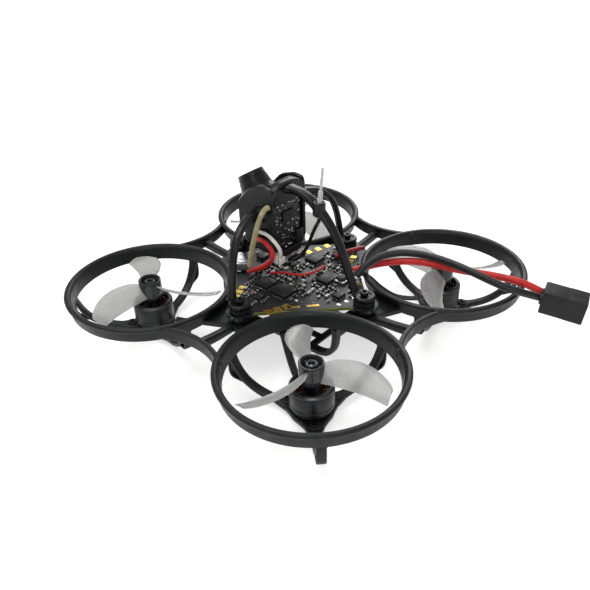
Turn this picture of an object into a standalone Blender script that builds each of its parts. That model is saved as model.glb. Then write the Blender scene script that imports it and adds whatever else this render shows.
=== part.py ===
"""Mini palm drone: a small quadcopter whose four propellers turn inside ring ducts.

Lengths are written in millimetres and become metres where a mesh is made. +Z is up, +Y is the way the
camera looks and +X is the drone's right. The origin is on the ground, under the middle of the four ducts.
"""

import math

import bmesh
import bpy
from mathutils import Matrix, Vector

MM = 0.001
GAP = 0.3  # between pieces that rest on each other
RUN = 0.08  # radial play of a shaft or pivot in its hole

# Driving dimensions
WHEELBASE = 65.0  # diagonal between motor axes
RING_R = 18.3  # outside of a duct ring, at its lip
RING_BORE = 16.5
RING_TOP = 12.5  # above the ground
RING_HEIGHT = 3.4
BOARD_PITCH = 25.5  # side of the square of mounting holes, turned 45 degrees
MOTOR_R = 4.35
CAMERA_TILT = 58.0  # lens axis above the horizontal

# Places worked out from them
RING_FOOT = RING_TOP - RING_HEIGHT
DUCT_X = WHEELBASE / 2 / math.sqrt(2)
POST = BOARD_PITCH / math.sqrt(2)  # centre of the drone to a mounting hole
WEB_LOW = 8.8  # underside of the struts and gussets between ducts
BOARD_LOW, BOARD_HIGH = 11.2, 12.0
WEB_HIGH, POST_TOP = 10.1, 10.2
FOOT_LOW, FOOT_HIGH = 13.4, 14.2  # feet of the canopy, on the grommets
PLATE_LOW, PLATE_HIGH = 1.0, 2.3  # motor plate of a duct
ARM_SPREAD = 120.0  # angle of the two inner arms from the outward one
PIVOT = Vector((0.0, 8.3, 25.7))  # camera tilt axis
COLLAR = Vector((0.0, -6.2, 30.0))  # holds the receiver antenna
CHEEK_IN, CHEEK_OUT = 4.4, 5.3  # the canopy's side plates, from the middle plane
BELL_LOW, BELL_HIGH = 3.6, 8.2
HUB_R = 2.45
HUB_LOW, HUB_HIGH = 9.1, 13.2
SHAFT_R = 0.5

CORNERS = {"front_left": (-1, 1), "front_right": (1, 1), "rear_left": (-1, -1), "rear_right": (1, -1)}
SIDES = {"left": 180.0, "rear": 270.0, "right": 0.0, "front": 90.0}
# Resting angle of one blade and the sense of rotation of each propeller, +1 anticlockwise from above
SPIN = {"front_left": (61.5, -1), "front_right": (20.0, 1), "rear_left": (48.0, 1), "rear_right": (85.0, -1)}


def clear_scene():
    for item in list(bpy.data.objects):
        bpy.data.objects.remove(item, do_unlink=True)


def make_material(name, colour, roughness, metallic=0.0, alpha=1.0):
    made = bpy.data.materials.new(name)
    made.use_nodes = True
    shader = made.node_tree.nodes["Principled BSDF"]
    shader.inputs["Base Color"].default_value = (*colour, 1.0)
    shader.inputs["Roughness"].default_value = roughness
    shader.inputs["Metallic"].default_value = metallic
    shader.inputs["Alpha"].default_value = alpha
    made.diffuse_color = (*colour, alpha)
    return made


# ---------------------------------------------------------------- shapes


def finish(name, bm, material, smooth_below=None):
    """Turn a bmesh drawn in millimetres into a named object in metres, with its faces pointing out."""
    bmesh.ops.remove_doubles(bm, verts=bm.verts, dist=0.0005)
    bmesh.ops.recalc_face_normals(bm, faces=bm.faces)
    bmesh.ops.scale(bm, vec=(MM, MM, MM), verts=bm.verts)
    mesh = bpy.data.meshes.new(name)
    bm.to_mesh(mesh)
    bm.free()
    mesh.materials.append(material)
    made = bpy.data.objects.new(name, mesh)
    bpy.context.scene.collection.objects.link(made)
    if smooth_below:
        mesh.shade_smooth()
        mesh.set_sharp_from_angle(angle=math.radians(smooth_below))
    return made


def turned(name, profile, material, segments=24):
    """Turn a (radius, height) profile about +Z. A profile that starts off the axis is a closed loop."""
    bm = bmesh.new()
    rings = []
    for radius, height in profile:
        if radius < 1e-6:
            rings.append([bm.verts.new((0.0, 0.0, height))] * segments)
            continue
        ring = []
        for k in range(segments):
            a = math.tau * k / segments
            ring.append(bm.verts.new((radius * math.cos(a), radius * math.sin(a), height)))
        rings.append(ring)
    steps = list(zip(rings, rings[1:]))
    if profile[0][0] > 1e-6:
        steps.append((rings[-1], rings[0]))
    for low, high in steps:
        for k in range(segments):
            j = (k + 1) % segments
            corners = list(dict.fromkeys((low[k], low[j], high[j], high[k])))
            if len(corners) > 2:
                bm.faces.new(corners)
    return finish(name, bm, material, smooth_below=40)


def prism(name, outline, low, high, material, holes=()):
    """Stand an (x, y) outline up between two heights."""
    bm = bmesh.new()
    bottom = [bm.verts.new((x, y, low)) for x, y in outline]
    face = bm.faces.new(bottom)
    grown = bmesh.ops.extrude_face_region(bm, geom=[face])
    top = [v for v in grown["geom"] if isinstance(v, bmesh.types.BMVert)]
    bmesh.ops.translate(bm, vec=(0.0, 0.0, high - low), verts=top)
    made = finish(name, bm, material)
    if holes:
        cutters = []
        for x, y, radius in holes:
            cutter = turned("hole", [(0, low - 1), (radius, low - 1), (radius, high + 1), (0, high + 1)], material, 16)
            place(cutter, (x, y, 0.0))
            cutters.append(cutter)
        combine(made, cutters, "DIFFERENCE")
    return made


def slab(name, size, centre, material, chamfer=0.0):
    """A box of the given size, with its edges cut at 45 degrees where a chamfer is given."""
    bm = bmesh.new()
    bmesh.ops.create_cube(bm, size=1.0)
    bmesh.ops.scale(bm, vec=size, verts=bm.verts)
    if chamfer:
        bmesh.ops.bevel(bm, geom=bm.edges, offset=chamfer, segments=1, affect="EDGES")
    bmesh.ops.translate(bm, vec=centre, verts=bm.verts)
    return finish(name, bm, material)


def bar(name, path, width, thickness, across, material, bevel=0.25):
    """Sweep an eight-sided flat section along a path. Its width lies along the vector `across`."""
    bm = bmesh.new()
    across = Vector(across).normalized()
    points = [Vector(p) for p in path]
    cut = bevel * min(width, thickness)
    half_w, half_t = width / 2, thickness / 2
    section = [(half_w, half_t - cut), (half_w - cut, half_t), (cut - half_w, half_t), (-half_w, half_t - cut)]
    section += [(-x, -y) for x, y in section]
    rings = []
    for k, point in enumerate(points):
        ahead = points[min(k + 1, len(points) - 1)] - points[max(k - 1, 0)]
        side = (across - ahead.normalized() * across.dot(ahead.normalized())).normalized()
        normal = ahead.normalized().cross(side)
        rings.append([bm.verts.new(point + side * x + normal * y) for x, y in section])
    count = len(section)
    for near, far in zip(rings, rings[1:]):
        for k in range(count):
            bm.faces.new((near[k], near[(k + 1) % count], far[(k + 1) % count], far[k]))
    bm.faces.new(rings[0])
    bm.faces.new(rings[-1])
    return finish(name, bm, material, smooth_below=50)


def smooth_path(route, spacing):
    """Points about `spacing` apart on a Catmull-Rom curve through the route."""
    knots = [Vector(p) for p in route]
    knots = [2 * knots[0] - knots[1]] + knots + [2 * knots[-1] - knots[-2]]
    path = []
    for a, b, c, d in zip(knots, knots[1:], knots[2:], knots[3:]):
        count = max(1, round((c - b).length / spacing))
        for k in range(count):
            t = k / count
            path.append(
                0.5 * (2 * b + (c - a) * t + (2 * a - 5 * b + 4 * c - d) * t * t + (3 * b - a - 3 * c + d) * t**3)
            )
    return path + [knots[-2]]


def wire(name, route, diameter, material, spacing=2.5):
    """A round wire: a curve with a bevel and filled caps, with a point every `spacing` diameters."""
    curve = bpy.data.curves.new(name, "CURVE")
    curve.dimensions = "3D"
    curve.bevel_depth = diameter / 2 * MM
    curve.bevel_resolution = 2
    curve.use_fill_caps = True
    path = smooth_path(route, spacing * diameter)
    spline = curve.splines.new("POLY")
    spline.points.add(len(path) - 1)
    for knot, point in zip(spline.points, path):
        knot.co = (*(point * MM), 1.0)
    curve.materials.append(material)
    made = bpy.data.objects.new(name, curve)
    bpy.context.scene.collection.objects.link(made)
    return made


def combine(base, tools, operation):
    """Join the tools to the base, or cut them from it, and remove them."""
    for tool in tools:
        step = base.modifiers.new(tool.name, "BOOLEAN")
        step.operation = operation
        step.object = tool
    bpy.context.view_layer.update()
    evaluated = base.evaluated_get(bpy.context.evaluated_depsgraph_get())
    base.data = bpy.data.meshes.new_from_object(evaluated)
    base.modifiers.clear()
    for tool in tools:
        bpy.data.objects.remove(tool, do_unlink=True)
    return base


def place(item, position, turn=0.0):
    """Put an object drawn at the origin at its place, in millimetres, turned about +Z in degrees."""
    item.matrix_world = Matrix.Translation(Vector(position) * MM) @ Matrix.Rotation(math.radians(turn), 4, "Z")
    return item


def lobed(radius, lobe, count, steps, start=0.0):
    """A round outline with `count` soft lobes."""
    outline = []
    for k in range(steps):
        a = math.tau * k / steps
        r = radius + lobe * (0.5 + 0.5 * math.cos(count * (a - start))) ** 2
        outline.append((r * math.cos(a), r * math.sin(a)))
    return outline


def duct_centre(corner):
    sx, sy = CORNERS[corner]
    return Vector((sx * DUCT_X, sy * DUCT_X, 0.0))


# ---------------------------------------------------------------- frame


def radial_web(name, outline, width, angle, material):
    """An outline drawn in (radius, height), given a width and turned to its angle about +Z."""
    web = prism(name, outline, -width / 2, width / 2, material)
    web.data.transform(Matrix.Rotation(math.radians(90), 4, "X"))
    web.data.transform(Matrix.Rotation(math.radians(angle), 4, "Z"))
    return web


def make_duct(corner, material):
    """Ring wall with a flared lip, three sprung arms, their foot loops and the motor plate, in one piece."""
    lip = [(RING_BORE - 0.1, RING_FOOT), (RING_R - 0.85, RING_FOOT), (RING_R - 0.7, RING_TOP - 1.1)]
    lip += [(RING_R, RING_TOP - 0.7), (RING_R, RING_TOP - 0.3), (RING_R - 0.3, RING_TOP), (RING_BORE + 0.8, RING_TOP)]
    lip += [(RING_BORE + 0.3, RING_TOP - 0.6)]
    duct = turned("duct_" + corner, lip, material, segments=48)
    arm = [(3.4, PLATE_HIGH), (6.6, PLATE_HIGH), (10.4, 3.1), (13.2, 4.8), (15.2, 7.2), (16.8, RING_FOOT + 0.4)]
    arm += [(17.4, RING_FOOT + 0.4), (17.5, 6.4), (17.2, 5.0), (16.5, 4.4), (15.5, 4.6), (14.0, 3.6), (11.0, 2.0)]
    arm += [(7.0, PLATE_LOW + 0.1), (3.4, PLATE_LOW)]
    loop_hole = [(16.9, 8.7), (16.0, 7.0), (15.6, 5.8), (16.2, 5.5), (16.6, 6.2)]
    parts = []
    for angle in (0.0, ARM_SPREAD, -ARM_SPREAD):
        web = radial_web("arm", arm, 1.9, angle, material)
        eye = radial_web("eye", loop_hole, 4.0, angle, material)
        parts.append(combine(web, [eye], "DIFFERENCE"))
    parts.append(prism("plate", lobed(4.3, 1.7, 3, 30), PLATE_LOW, PLATE_HIGH, material))
    combine(duct, parts, "UNION")
    outward = math.degrees(math.atan2(CORNERS[corner][1], CORNERS[corner][0]))
    return place(duct, duct_centre(corner), outward)


def make_bridge(side, material):
    """Bumper wall, strut, two gussets and the board's post, which together tie two neighbouring ducts."""
    ring_clear = RING_R + 0.4  # keeps the bridge clear of the ring walls
    wall_x, half_wall, hollow, wall_thick = 30.6, 9.0, 2.6, 1.1
    wall = []
    for k in range(9):
        along = 1 - k / 4
        wall.append((wall_x + hollow * along**2, half_wall * along))
    outline = wall + [(x - wall_thick, y) for x, y in reversed(wall)]
    bridge = prism("bridge_" + side, outline, RING_FOOT, RING_TOP - 0.3, material)
    strut_end = POST + 1.6
    parts = [prism("strut", [(strut_end - 1, -0.8), (wall_x - 0.5, -0.8), (wall_x - 0.5, 0.8), (strut_end - 1, 0.8)],
                   WEB_LOW, WEB_HIGH, material)]
    for sign in (1, -1):
        foot = [(POST - 2.4, 0.0), (POST + 2.4, 0.0), (POST + 6.6, sign * 7.2), (POST - 3.4, sign * 7.2)]
        parts.append(prism("gusset", foot[::sign], WEB_LOW, WEB_HIGH, material))
    parts.append(turned("post", [(0, WEB_LOW), (2.3, WEB_LOW), (2.3, POST_TOP), (0, POST_TOP)], material, 20))
    place(parts[-1], (POST, 0.0, 0.0))
    combine(bridge, parts, "UNION")
    cutters = []
    for sign in (1, -1):
        cutter = turned("ring", [(0, 0), (ring_clear, 0), (ring_clear, 20), (0, 20)], material, 48)
        cutters.append(place(cutter, (DUCT_X, sign * DUCT_X, 0.0)))
    cutters.append(turned("screw_hole", [(0, 0), (0.75, 0), (0.75, 20), (0, 20)], material, 12))
    place(cutters[-1], (POST, 0.0, 0.0))
    combine(bridge, cutters, "DIFFERENCE")
    return place(bridge, (0.0, 0.0, 0.0), SIDES[side])


def make_battery_tray(material):
    """Two skids that run fore and aft under the board, and the bars that carry the battery between them."""
    skid_x, end_y, width, thick = 6.6, 15.9, 1.9, 1.2
    half = [(end_y, WEB_LOW - GAP), (end_y, 5.6), (end_y - 0.5, 3.2), (14.2, 1.6), (12.4, 0.8), (10.0, thick / 2)]
    path = [(-y, z) for y, z in half] + [(y, z) for y, z in reversed(half)]
    parts = []
    for sign in (1, -1):
        route = [(sign * skid_x, y, z) for y, z in path]
        parts.append(bar("skid", route, width, thick, (1, 0, 0), material, bevel=0.3))
    for y in (-9.0, 0.0, 9.0):
        parts.append(slab("floor_bar", (2 * skid_x, 1.6, 0.8), (0, y, 0.7), material))
    for sign in (1, -1):
        parts.append(slab("end_bar", (2 * skid_x, 1.0, 1.4), (0, sign * end_y, 6.6), material))
        parts.append(slab("spine", (1.5, 18.0, 0.8), (sign * 2.6, 0, 0.7), material))
    tray = combine(parts[0], parts[1:], "UNION")
    tray.name = "battery_tray"
    return tray


# ---------------------------------------------------------------- electronics


def make_board(material):
    """The flight controller: a square on its corner whose edges are hollowed to follow the ducts."""
    tip = POST + 1.4
    board = prism("flight_controller", [(tip, 0), (0, tip), (-tip, 0), (0, -tip)], BOARD_LOW, BOARD_HIGH, material)
    eyes = []
    for angle in SIDES.values():
        a = math.radians(angle)
        eye = turned("eye", [(0, BOARD_LOW), (2.9, BOARD_LOW), (2.9, BOARD_HIGH), (0, BOARD_HIGH)], material, 20)
        eyes.append(place(eye, (POST * math.cos(a), POST * math.sin(a), 0.0)))
    combine(board, eyes, "UNION")
    cutters = []
    for corner in CORNERS:
        cutter = turned("ring", [(0, 0), (RING_R + 0.5, 0), (RING_R + 0.5, 30), (0, 30)], material, 56)
        cutters.append(place(cutter, duct_centre(corner)))
    for angle in SIDES.values():
        a = math.radians(angle)
        hole = turned("hole", [(0, 0), (1.75, 0), (1.75, 30), (0, 30)], material, 16)
        cutters.append(place(hole, (POST * math.cos(a), POST * math.sin(a), 0.0)))
    return combine(board, cutters, "DIFFERENCE")


def make_grommet(side, material):
    """A rubber spool that holds one corner of the board off its post."""
    a = math.radians(SIDES[side])
    low, high = POST_TOP + GAP, FOOT_LOW - GAP
    bore, waist, flange = 0.8, 1.45, 2.25
    profile = [(bore, low), (flange, low), (flange, BOARD_LOW - 0.15), (waist, BOARD_LOW - 0.15)]
    profile += [(waist, BOARD_HIGH + 0.15), (flange, BOARD_HIGH + 0.15), (flange, high), (bore, high)]
    spool = turned("grommet_" + side, profile, material, 14)
    return place(spool, (POST * math.cos(a), POST * math.sin(a), 0.0))


def make_screw(side, material):
    """A pan-head screw down through the canopy foot, the grommet and the post."""
    a = math.radians(SIDES[side])
    head = FOOT_HIGH + GAP
    profile = [(0, 8.0), (0.45, 8.0), (0.45, head), (0.95, head), (0.95, head + 0.3), (0.7, head + 0.6), (0, head + 0.6)]
    screw = turned("screw_" + side, profile, material, 12)
    return place(screw, (POST * math.cos(a), POST * math.sin(a), 0.0))


def make_usb_socket(material):
    """A flat metal shell, open at the board's front left edge."""
    shell = slab("usb_socket", (5.6, 3.6, 2.2), (0, 0, 0), material, chamfer=0.35)
    mouth = slab("mouth", (4.6, 3.6, 1.3), (0, 0.8, 0), material)
    combine(shell, [mouth], "DIFFERENCE")
    return place(shell, (-4.6, 12.4, BOARD_HIGH + GAP + 1.1), 45.0)


BUTTON_AT = Vector((4.2, -9.0, 0.0))
BUTTON_TRAVEL = 0.25


def make_bind_button(material):
    """The cap of the board's tact switch, pressed straight down."""
    top = BOARD_HIGH + 1.3
    low = BOARD_HIGH + 0.1 + BUTTON_TRAVEL
    cap = turned("bind_button", [(0, low), (0.95, low), (0.95, top - 0.15), (0.75, top), (0, top)], material, 16)
    return place(cap, BUTTON_AT)


# ---------------------------------------------------------------- canopy and camera


def tilted(item):
    """Carry a piece drawn along +Z onto the lens axis, with its zero on the tilt pivot."""
    item.data.transform(Matrix.Rotation(math.radians(CAMERA_TILT - 90.0), 4, "X"))
    item.location = PIVOT * MM
    return item


def make_canopy(material):
    """Two cheeks that hold the camera, a roof band, four arms that land on the board's corners."""
    cheek = [(1.8, 19.0), (6.0, 18.4), (9.6, 20.4), (12.0, 23.4), (12.0, 28.8), (8.4, 32.6), (4.4, 33.8)]
    cheek += [(2.4, 33.6), (1.8, 32.6)]
    parts = []
    for sign in (1, -1):
        plate = prism("cheek", cheek, CHEEK_IN, CHEEK_OUT, material)
        plate.data.transform(Matrix(((0, 0, 1, 0), (1, 0, 0, 0), (0, 1, 0, 0), (0, 0, 0, 1))))
        if sign < 0:
            plate.data.transform(Matrix.Scale(-1, 4, (1, 0, 0)))
            plate.data.flip_normals()
        parts.append(plate)
    roof = [(-5.3, 29.8), (-5.3, 32.6), (-4.2, 33.6), (-1.6, 34.0), (1.6, 34.0), (4.2, 33.6), (5.3, 32.6), (5.3, 29.8)]
    band = prism("roof", roof, -4.2, -1.8, material)
    band.data.transform(Matrix.Rotation(math.radians(90), 4, "X"))
    parts.append(band)
    parts.append(slab("tie", (2 * CHEEK_OUT, 1.6, 1.6), (0, 9.8, 20.3), material))
    front_leg = smooth_path([(0, 9.6, 20.2), (0, 12.6, 19.4), (0, 14.9, 17.0), (0, 15.8, 13.8)], 2.0)
    parts.append(bar("front_leg", front_leg, 2.6, 1.3, (1, 0, 0), material))
    for sign in (1, -1):
        reach = [(4.9, 5.4, 27.6), (8.6, 5.1, 27.9), (12.6, 4.1, 26.9), (15.4, 3.1, 24.4), (16.9, 2.6, 21.0)]
        reach += [(17.8, 2.3, 17.0), (18.0, 2.2, 13.8)]
        route = smooth_path([(sign * x, y, z) for x, y, z in reach], 2.2)
        parts.append(bar("side_arm", route, 1.7, 1.4, (0.2 * sign, 1, 0), material))
    rear = smooth_path([(0, 3.0, 32.4), (0, -2.0, 32.2), (0, -5.6, 30.4), (0, -9.2, 27.0), (0, -12.1, 22.4),
                        (0, -14.1, 17.6), (0, -15.8, 13.8)], 2.2)
    parts.append(bar("rear_arm", rear, 2.0, 1.5, (1, 0, 0), material))
    collar = turned("collar", [(0, -1.4), (1.35, -1.4), (1.35, 1.6), (0, 1.6)], material, 16)
    parts.append(place(collar, COLLAR))
    for angle in SIDES.values():
        a = math.radians(angle)
        foot = turned("foot", [(0, FOOT_LOW), (2.3, FOOT_LOW), (2.3, FOOT_HIGH), (0, FOOT_HIGH)], material, 16)
        parts.append(place(foot, (POST * math.cos(a), POST * math.sin(a), 0.0)))
    canopy = combine(parts[0], parts[1:], "UNION")
    canopy.name = "canopy"
    cutters = []
    for angle in SIDES.values():
        a = math.radians(angle)
        hole = turned("hole", [(0, 10), (0.75, 10), (0.75, 18), (0, 18)], material, 12)
        cutters.append(place(hole, (POST * math.cos(a), POST * math.sin(a), 0.0)))
    socket = turned("socket", [(0, -6.0), (0.85, -6.0), (0.85, 6.0), (0, 6.0)], material, 12)
    cutters.append(place(socket, COLLAR))
    pivot_hole = turned("pivot_hole", [(0, -8), (0.6 + RUN, -8), (0.6 + RUN, 8), (0, 8)], material, 16)
    pivot_hole.data.transform(Matrix.Rotation(math.radians(90), 4, "Y"))
    pivot_hole.location = PIVOT * MM
    cutters.append(pivot_hole)
    return combine(canopy, cutters, "DIFFERENCE")


def make_camera(materials):
    """Camera body, lens barrel with its hood, front glass and the two pivot screws."""
    half = CHEEK_IN - GAP
    body = tilted(slab("camera_housing", (2 * half, 6.6, 6.6), (0, 0, 0), materials["plastic"], chamfer=0.6))
    hole = turned("hole", [(0, -8), (0.75, -8), (0.75, 8), (0, 8)], materials["plastic"], 12)
    hole.data.transform(Matrix.Rotation(math.radians(90), 4, "Y"))
    hole.location = PIVOT * MM
    core = slab("core", (4.4, 3.0, 3.0), (0, 0, 0), materials["plastic"])
    core.location = PIVOT * MM
    combine(hole, [core], "DIFFERENCE")
    combine(body, [hole], "DIFFERENCE")
    barrel = [(0, 3.6), (4.3, 3.6), (4.3, 4.6), (3.6, 5.6), (2.75, 8.9), (2.2, 8.9), (2.2, 7.2), (0, 7.2)]
    tilted(turned("lens_barrel", barrel, materials["plastic"], 28))
    tilted(turned("lens_glass", [(0, 7.5), (1.9, 7.5), (1.7, 8.0), (0.9, 8.3), (0, 8.4)], materials["glass"], 24))
    for side, sign in (("left", -1), ("right", 1)):
        profile = [(0, 2.9), (0.6, 2.9), (0.6, CHEEK_OUT + GAP), (1.2, CHEEK_OUT + GAP), (1.2, 6.1), (0.9, 6.4), (0, 6.4)]
        screw = turned("camera_screw_" + side, profile, materials["steel"], 16)
        screw.data.transform(Matrix.Rotation(math.radians(sign * 90), 4, "Y"))
        screw.location = PIVOT * MM


def make_camera_board(material):
    """The upright transmitter board that closes the back of the canopy."""
    return slab("camera_board", (2 * (CHEEK_IN - GAP), 0.8, 11.0), (0, 2.8, 24.0), material)


def make_antennas(materials):
    """The receiver's straight antenna in the canopy's collar, and the transmitter's sleeved one."""
    profile = [(0, -1.9), (0.5, -1.9), (0.5, 4.0), (0.28, 4.3), (0.28, 9.2), (0, 9.2)]
    straight = turned("receiver_antenna", profile, materials["sleeve_grey"], 12)
    straight.data.transform(Matrix.Rotation(math.radians(6.0), 4, "X"))
    straight.location = COLLAR * MM
    route = [(-5.9, 2.0, 30.2), (-6.7, 2.5, 29.9), (-7.6, 3.3, 27.9), (-8.4, 4.2, 24.0), (-8.9, 5.0, 20.0),
             (-9.2, 5.6, 16.2)]
    wire("transmitter_antenna", route, 1.1, materials["sleeve_tan"])


# ---------------------------------------------------------------- motors and propellers


def make_motor(corner, materials):
    """Base with its bearing tube, wound stator, and the bell and shaft that turn round it."""
    at = duct_centre(corner)
    low = PLATE_HIGH + GAP
    tube_r = 1.3
    bore = SHAFT_R + RUN
    base = [(bore, low), (3.9, low), (3.9, low + 0.5), (tube_r, low + 0.7), (tube_r, 7.0), (bore, 7.0)]
    place(turned("motor_base_" + corner, base, materials["aluminium"], 18), at)
    stator = prism("stator_" + corner, lobed(2.5, 0.8, 9, 36), 3.9, 6.6, materials["copper"], holes=[(0, 0, tube_r + 0.15)])
    place(stator, at)
    wall = [(MOTOR_R - 0.45, BELL_LOW), (MOTOR_R, BELL_LOW), (MOTOR_R, BELL_HIGH - 0.5), (MOTOR_R - 0.5, BELL_HIGH)]
    wall += [(MOTOR_R - 0.95, BELL_HIGH), (MOTOR_R - 0.45, BELL_HIGH - 0.9)]
    bell = turned("bell_" + corner, wall, materials["aluminium"], 24)
    boss = [(0, BELL_HIGH - 0.8), (1.25, BELL_HIGH - 0.8), (1.25, BELL_HIGH), (0, BELL_HIGH)]
    parts = [turned("boss", boss, materials["aluminium"], 12)]
    for k in range(3):
        spoke = slab("spoke", (MOTOR_R - 0.9, 0.9, 0.6), (MOTOR_R / 2, 0, BELL_HIGH - 0.4), materials["aluminium"])
        parts.append(place(spoke, (0, 0, 0), 120 * k))
    combine(bell, parts, "UNION")
    bore_cut = turned("bore", [(0, 5), (SHAFT_R + 0.1, 5), (SHAFT_R + 0.1, 10), (0, 10)], materials["aluminium"], 12)
    combine(bell, [bore_cut], "DIFFERENCE")
    place(bell, at)
    shaft = [(0, PLATE_HIGH + GAP), (SHAFT_R, PLATE_HIGH + GAP), (SHAFT_R, 12.4), (0, 12.4)]
    place(turned("shaft_" + corner, shaft, materials["steel"], 12), at)


def blade(angle, sense, material):
    """A wide twisted blade. Each row: radius, leading edge, its height, trailing edge, its height."""
    rows = [(1.6, 1.3, 12.4, -1.2, 9.7), (4.2, 3.1, 12.7, -1.0, 9.6), (7.4, 3.9, 12.6, -1.0, 9.5)]
    rows += [(10.6, 3.6, 12.2, -1.3, 9.5), (13.4, 2.3, 11.5, -2.0, 9.5), (15.2, 0.6, 10.9, -2.7, 9.6)]
    thick = 0.35
    bm = bmesh.new()
    rings = []
    for radius, lead, lead_z, trail, trail_z in rows:
        middle, middle_z = (lead + trail) / 2, (lead_z + trail_z) / 2 + 0.35
        ring = []
        for y, z in ((lead, lead_z), (middle, middle_z), (trail, trail_z)):
            ring.append(bm.verts.new((radius, sense * y, z + thick)))
        for y, z in ((trail, trail_z), (middle, middle_z), (lead, lead_z)):
            ring.append(bm.verts.new((radius, sense * y, z - thick)))
        rings.append(ring)
    for near, far in zip(rings, rings[1:]):
        for k in range(6):
            bm.faces.new((near[k], near[(k + 1) % 6], far[(k + 1) % 6], far[k]))
    bm.faces.new(rings[0])
    bm.faces.new(rings[-1])
    bmesh.ops.triangulate(bm, faces=bm.faces)
    made = finish("blade", bm, material, smooth_below=50)
    made.data.transform(Matrix.Rotation(math.radians(angle), 4, "Z"))
    return made


def make_propeller(corner, material):
    start, sense = SPIN[corner]
    hub = turned("propeller_" + corner, [(0, HUB_LOW), (HUB_R, HUB_LOW), (HUB_R, HUB_HIGH), (0, HUB_HIGH)], material, 20)
    combine(hub, [blade(start + 120 * k, sense, material) for k in range(3)], "UNION")
    bore = turned("bore", [(0, 5), (SHAFT_R + 0.12, 5), (SHAFT_R + 0.12, 15), (0, 15)], material, 12)
    combine(hub, [bore], "DIFFERENCE")
    return place(hub, duct_centre(corner))


def make_motor_wires(corner, material):
    """Three thin wires side by side, from the motor's base under the ring to the edge of the board."""
    sx, sy = CORNERS[corner]
    angle = math.radians(60.0)
    along = Vector((-sx * math.cos(angle), -sy * math.sin(angle), 0.0))
    across = along.cross(Vector((0, 0, 1)))
    heights = [(4.9, 3.3), (7.5, 3.1), (10.5, 3.6), (13.6, 5.6), (16.0, 7.8), (18.0, 8.8), (19.2, 9.8), (19.9, 10.8)]
    route = smooth_path([duct_centre(corner) + along * r + Vector((0, 0, z)) for r, z in heights], 2.4)
    return bar("motor_wires_" + corner, route, 1.6, 0.6, across, material, bevel=0.2)


# ---------------------------------------------------------------- leads, plug and camera wires

RED_ROUTE = [(7.5, -9.4, 13.2), (8.8, -10.1, 13.3), (11.0, -11.5, 13.7), (12.8, -13.8, 14.4), (14.8, -16.8, 15.0),
             (16.7, -20.0, 15.2), (18.2, -23.4, 15.1), (19.6, -26.8, 14.7), (21.4, -30.0, 14.2), (23.0, -33.3, 14.0),
             (24.2, -36.8, 13.9), (25.2, -40.2, 13.6), (26.0, -42.6, 12.9), (26.7, -44.6, 12.1)]
BLACK_ROUTE = [(6.0, -11.5, 13.1), (7.0, -11.7, 14.0), (8.6, -12.3, 15.2), (12.0, -13.8, 16.4), (15.0, -16.4, 16.9),
               (17.0, -19.6, 16.9), (18.1, -23.2, 16.8), (18.7, -27.1, 16.5), (19.0, -31.2, 16.0), (19.3, -35.2, 15.3),
               (20.0, -38.9, 14.5), (21.2, -41.4, 13.8), (22.8, -43.6, 13.0), (24.2, -45.1, 12.3)]
LEAD_DIAMETER = 1.6
PLUG_SIZE = (5.2, 8.7, 5.0)
PLUG_CENTRE = (26.6, -49.4, 11.45)
PLUG_YAW, PLUG_PITCH = 16.4, 6.0


def make_plug(material):
    """The battery plug: a moulded housing with two square sockets in its far end."""
    plug = slab("battery_plug", PLUG_SIZE, (0, 0, 0), material, chamfer=0.25)
    sockets = [slab("socket", (1.5, 4.0, 2.6), (x, -PLUG_SIZE[1] / 2, 0), material) for x in (-1.2, 1.2)]
    combine(plug, sockets, "DIFFERENCE")
    turn = Matrix.Rotation(math.radians(PLUG_YAW), 4, "Z") @ Matrix.Rotation(math.radians(PLUG_PITCH), 4, "X")
    plug.matrix_world = Matrix.Translation(Vector(PLUG_CENTRE) * MM) @ turn
    return plug


def make_small_wires(materials):
    """Two wires that loop from the main board up to the camera board, and the receiver antenna's coax."""
    red = [(-5.2, 8.4, 12.9), (-4.4, 6.9, 13.3), (-3.0, 5.7, 14.4), (-2.4, 5.4, 16.0), (-2.6, 6.2, 17.5),
           (-3.0, 6.8, 18.8), (-3.2, 6.0, 20.0), (-3.3, 3.9, 20.4)]
    wire("camera_wire_red", red, 0.9, materials["silicone_red"])
    white = [(1.9, 6.2, 13.9), (0.8, 5.6, 15.2), (-0.4, 5.0, 17.2), (-1.1, 5.2, 18.8), (-1.5, 5.0, 19.9),
             (-1.6, 3.8, 20.3)]
    wire("camera_wire_white", white, 0.8, materials["silicone_white"])
    coax = [(2.6, 3.6, 13.4), (3.0, 1.4, 15.4), (2.9, -0.6, 18.6), (2.5, -2.4, 22.4), (1.6, -4.3, 25.4),
            (0.3, -5.9, 27.2)]
    wire("antenna_coax", coax, 0.8, materials["silicone_black"])


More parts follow.
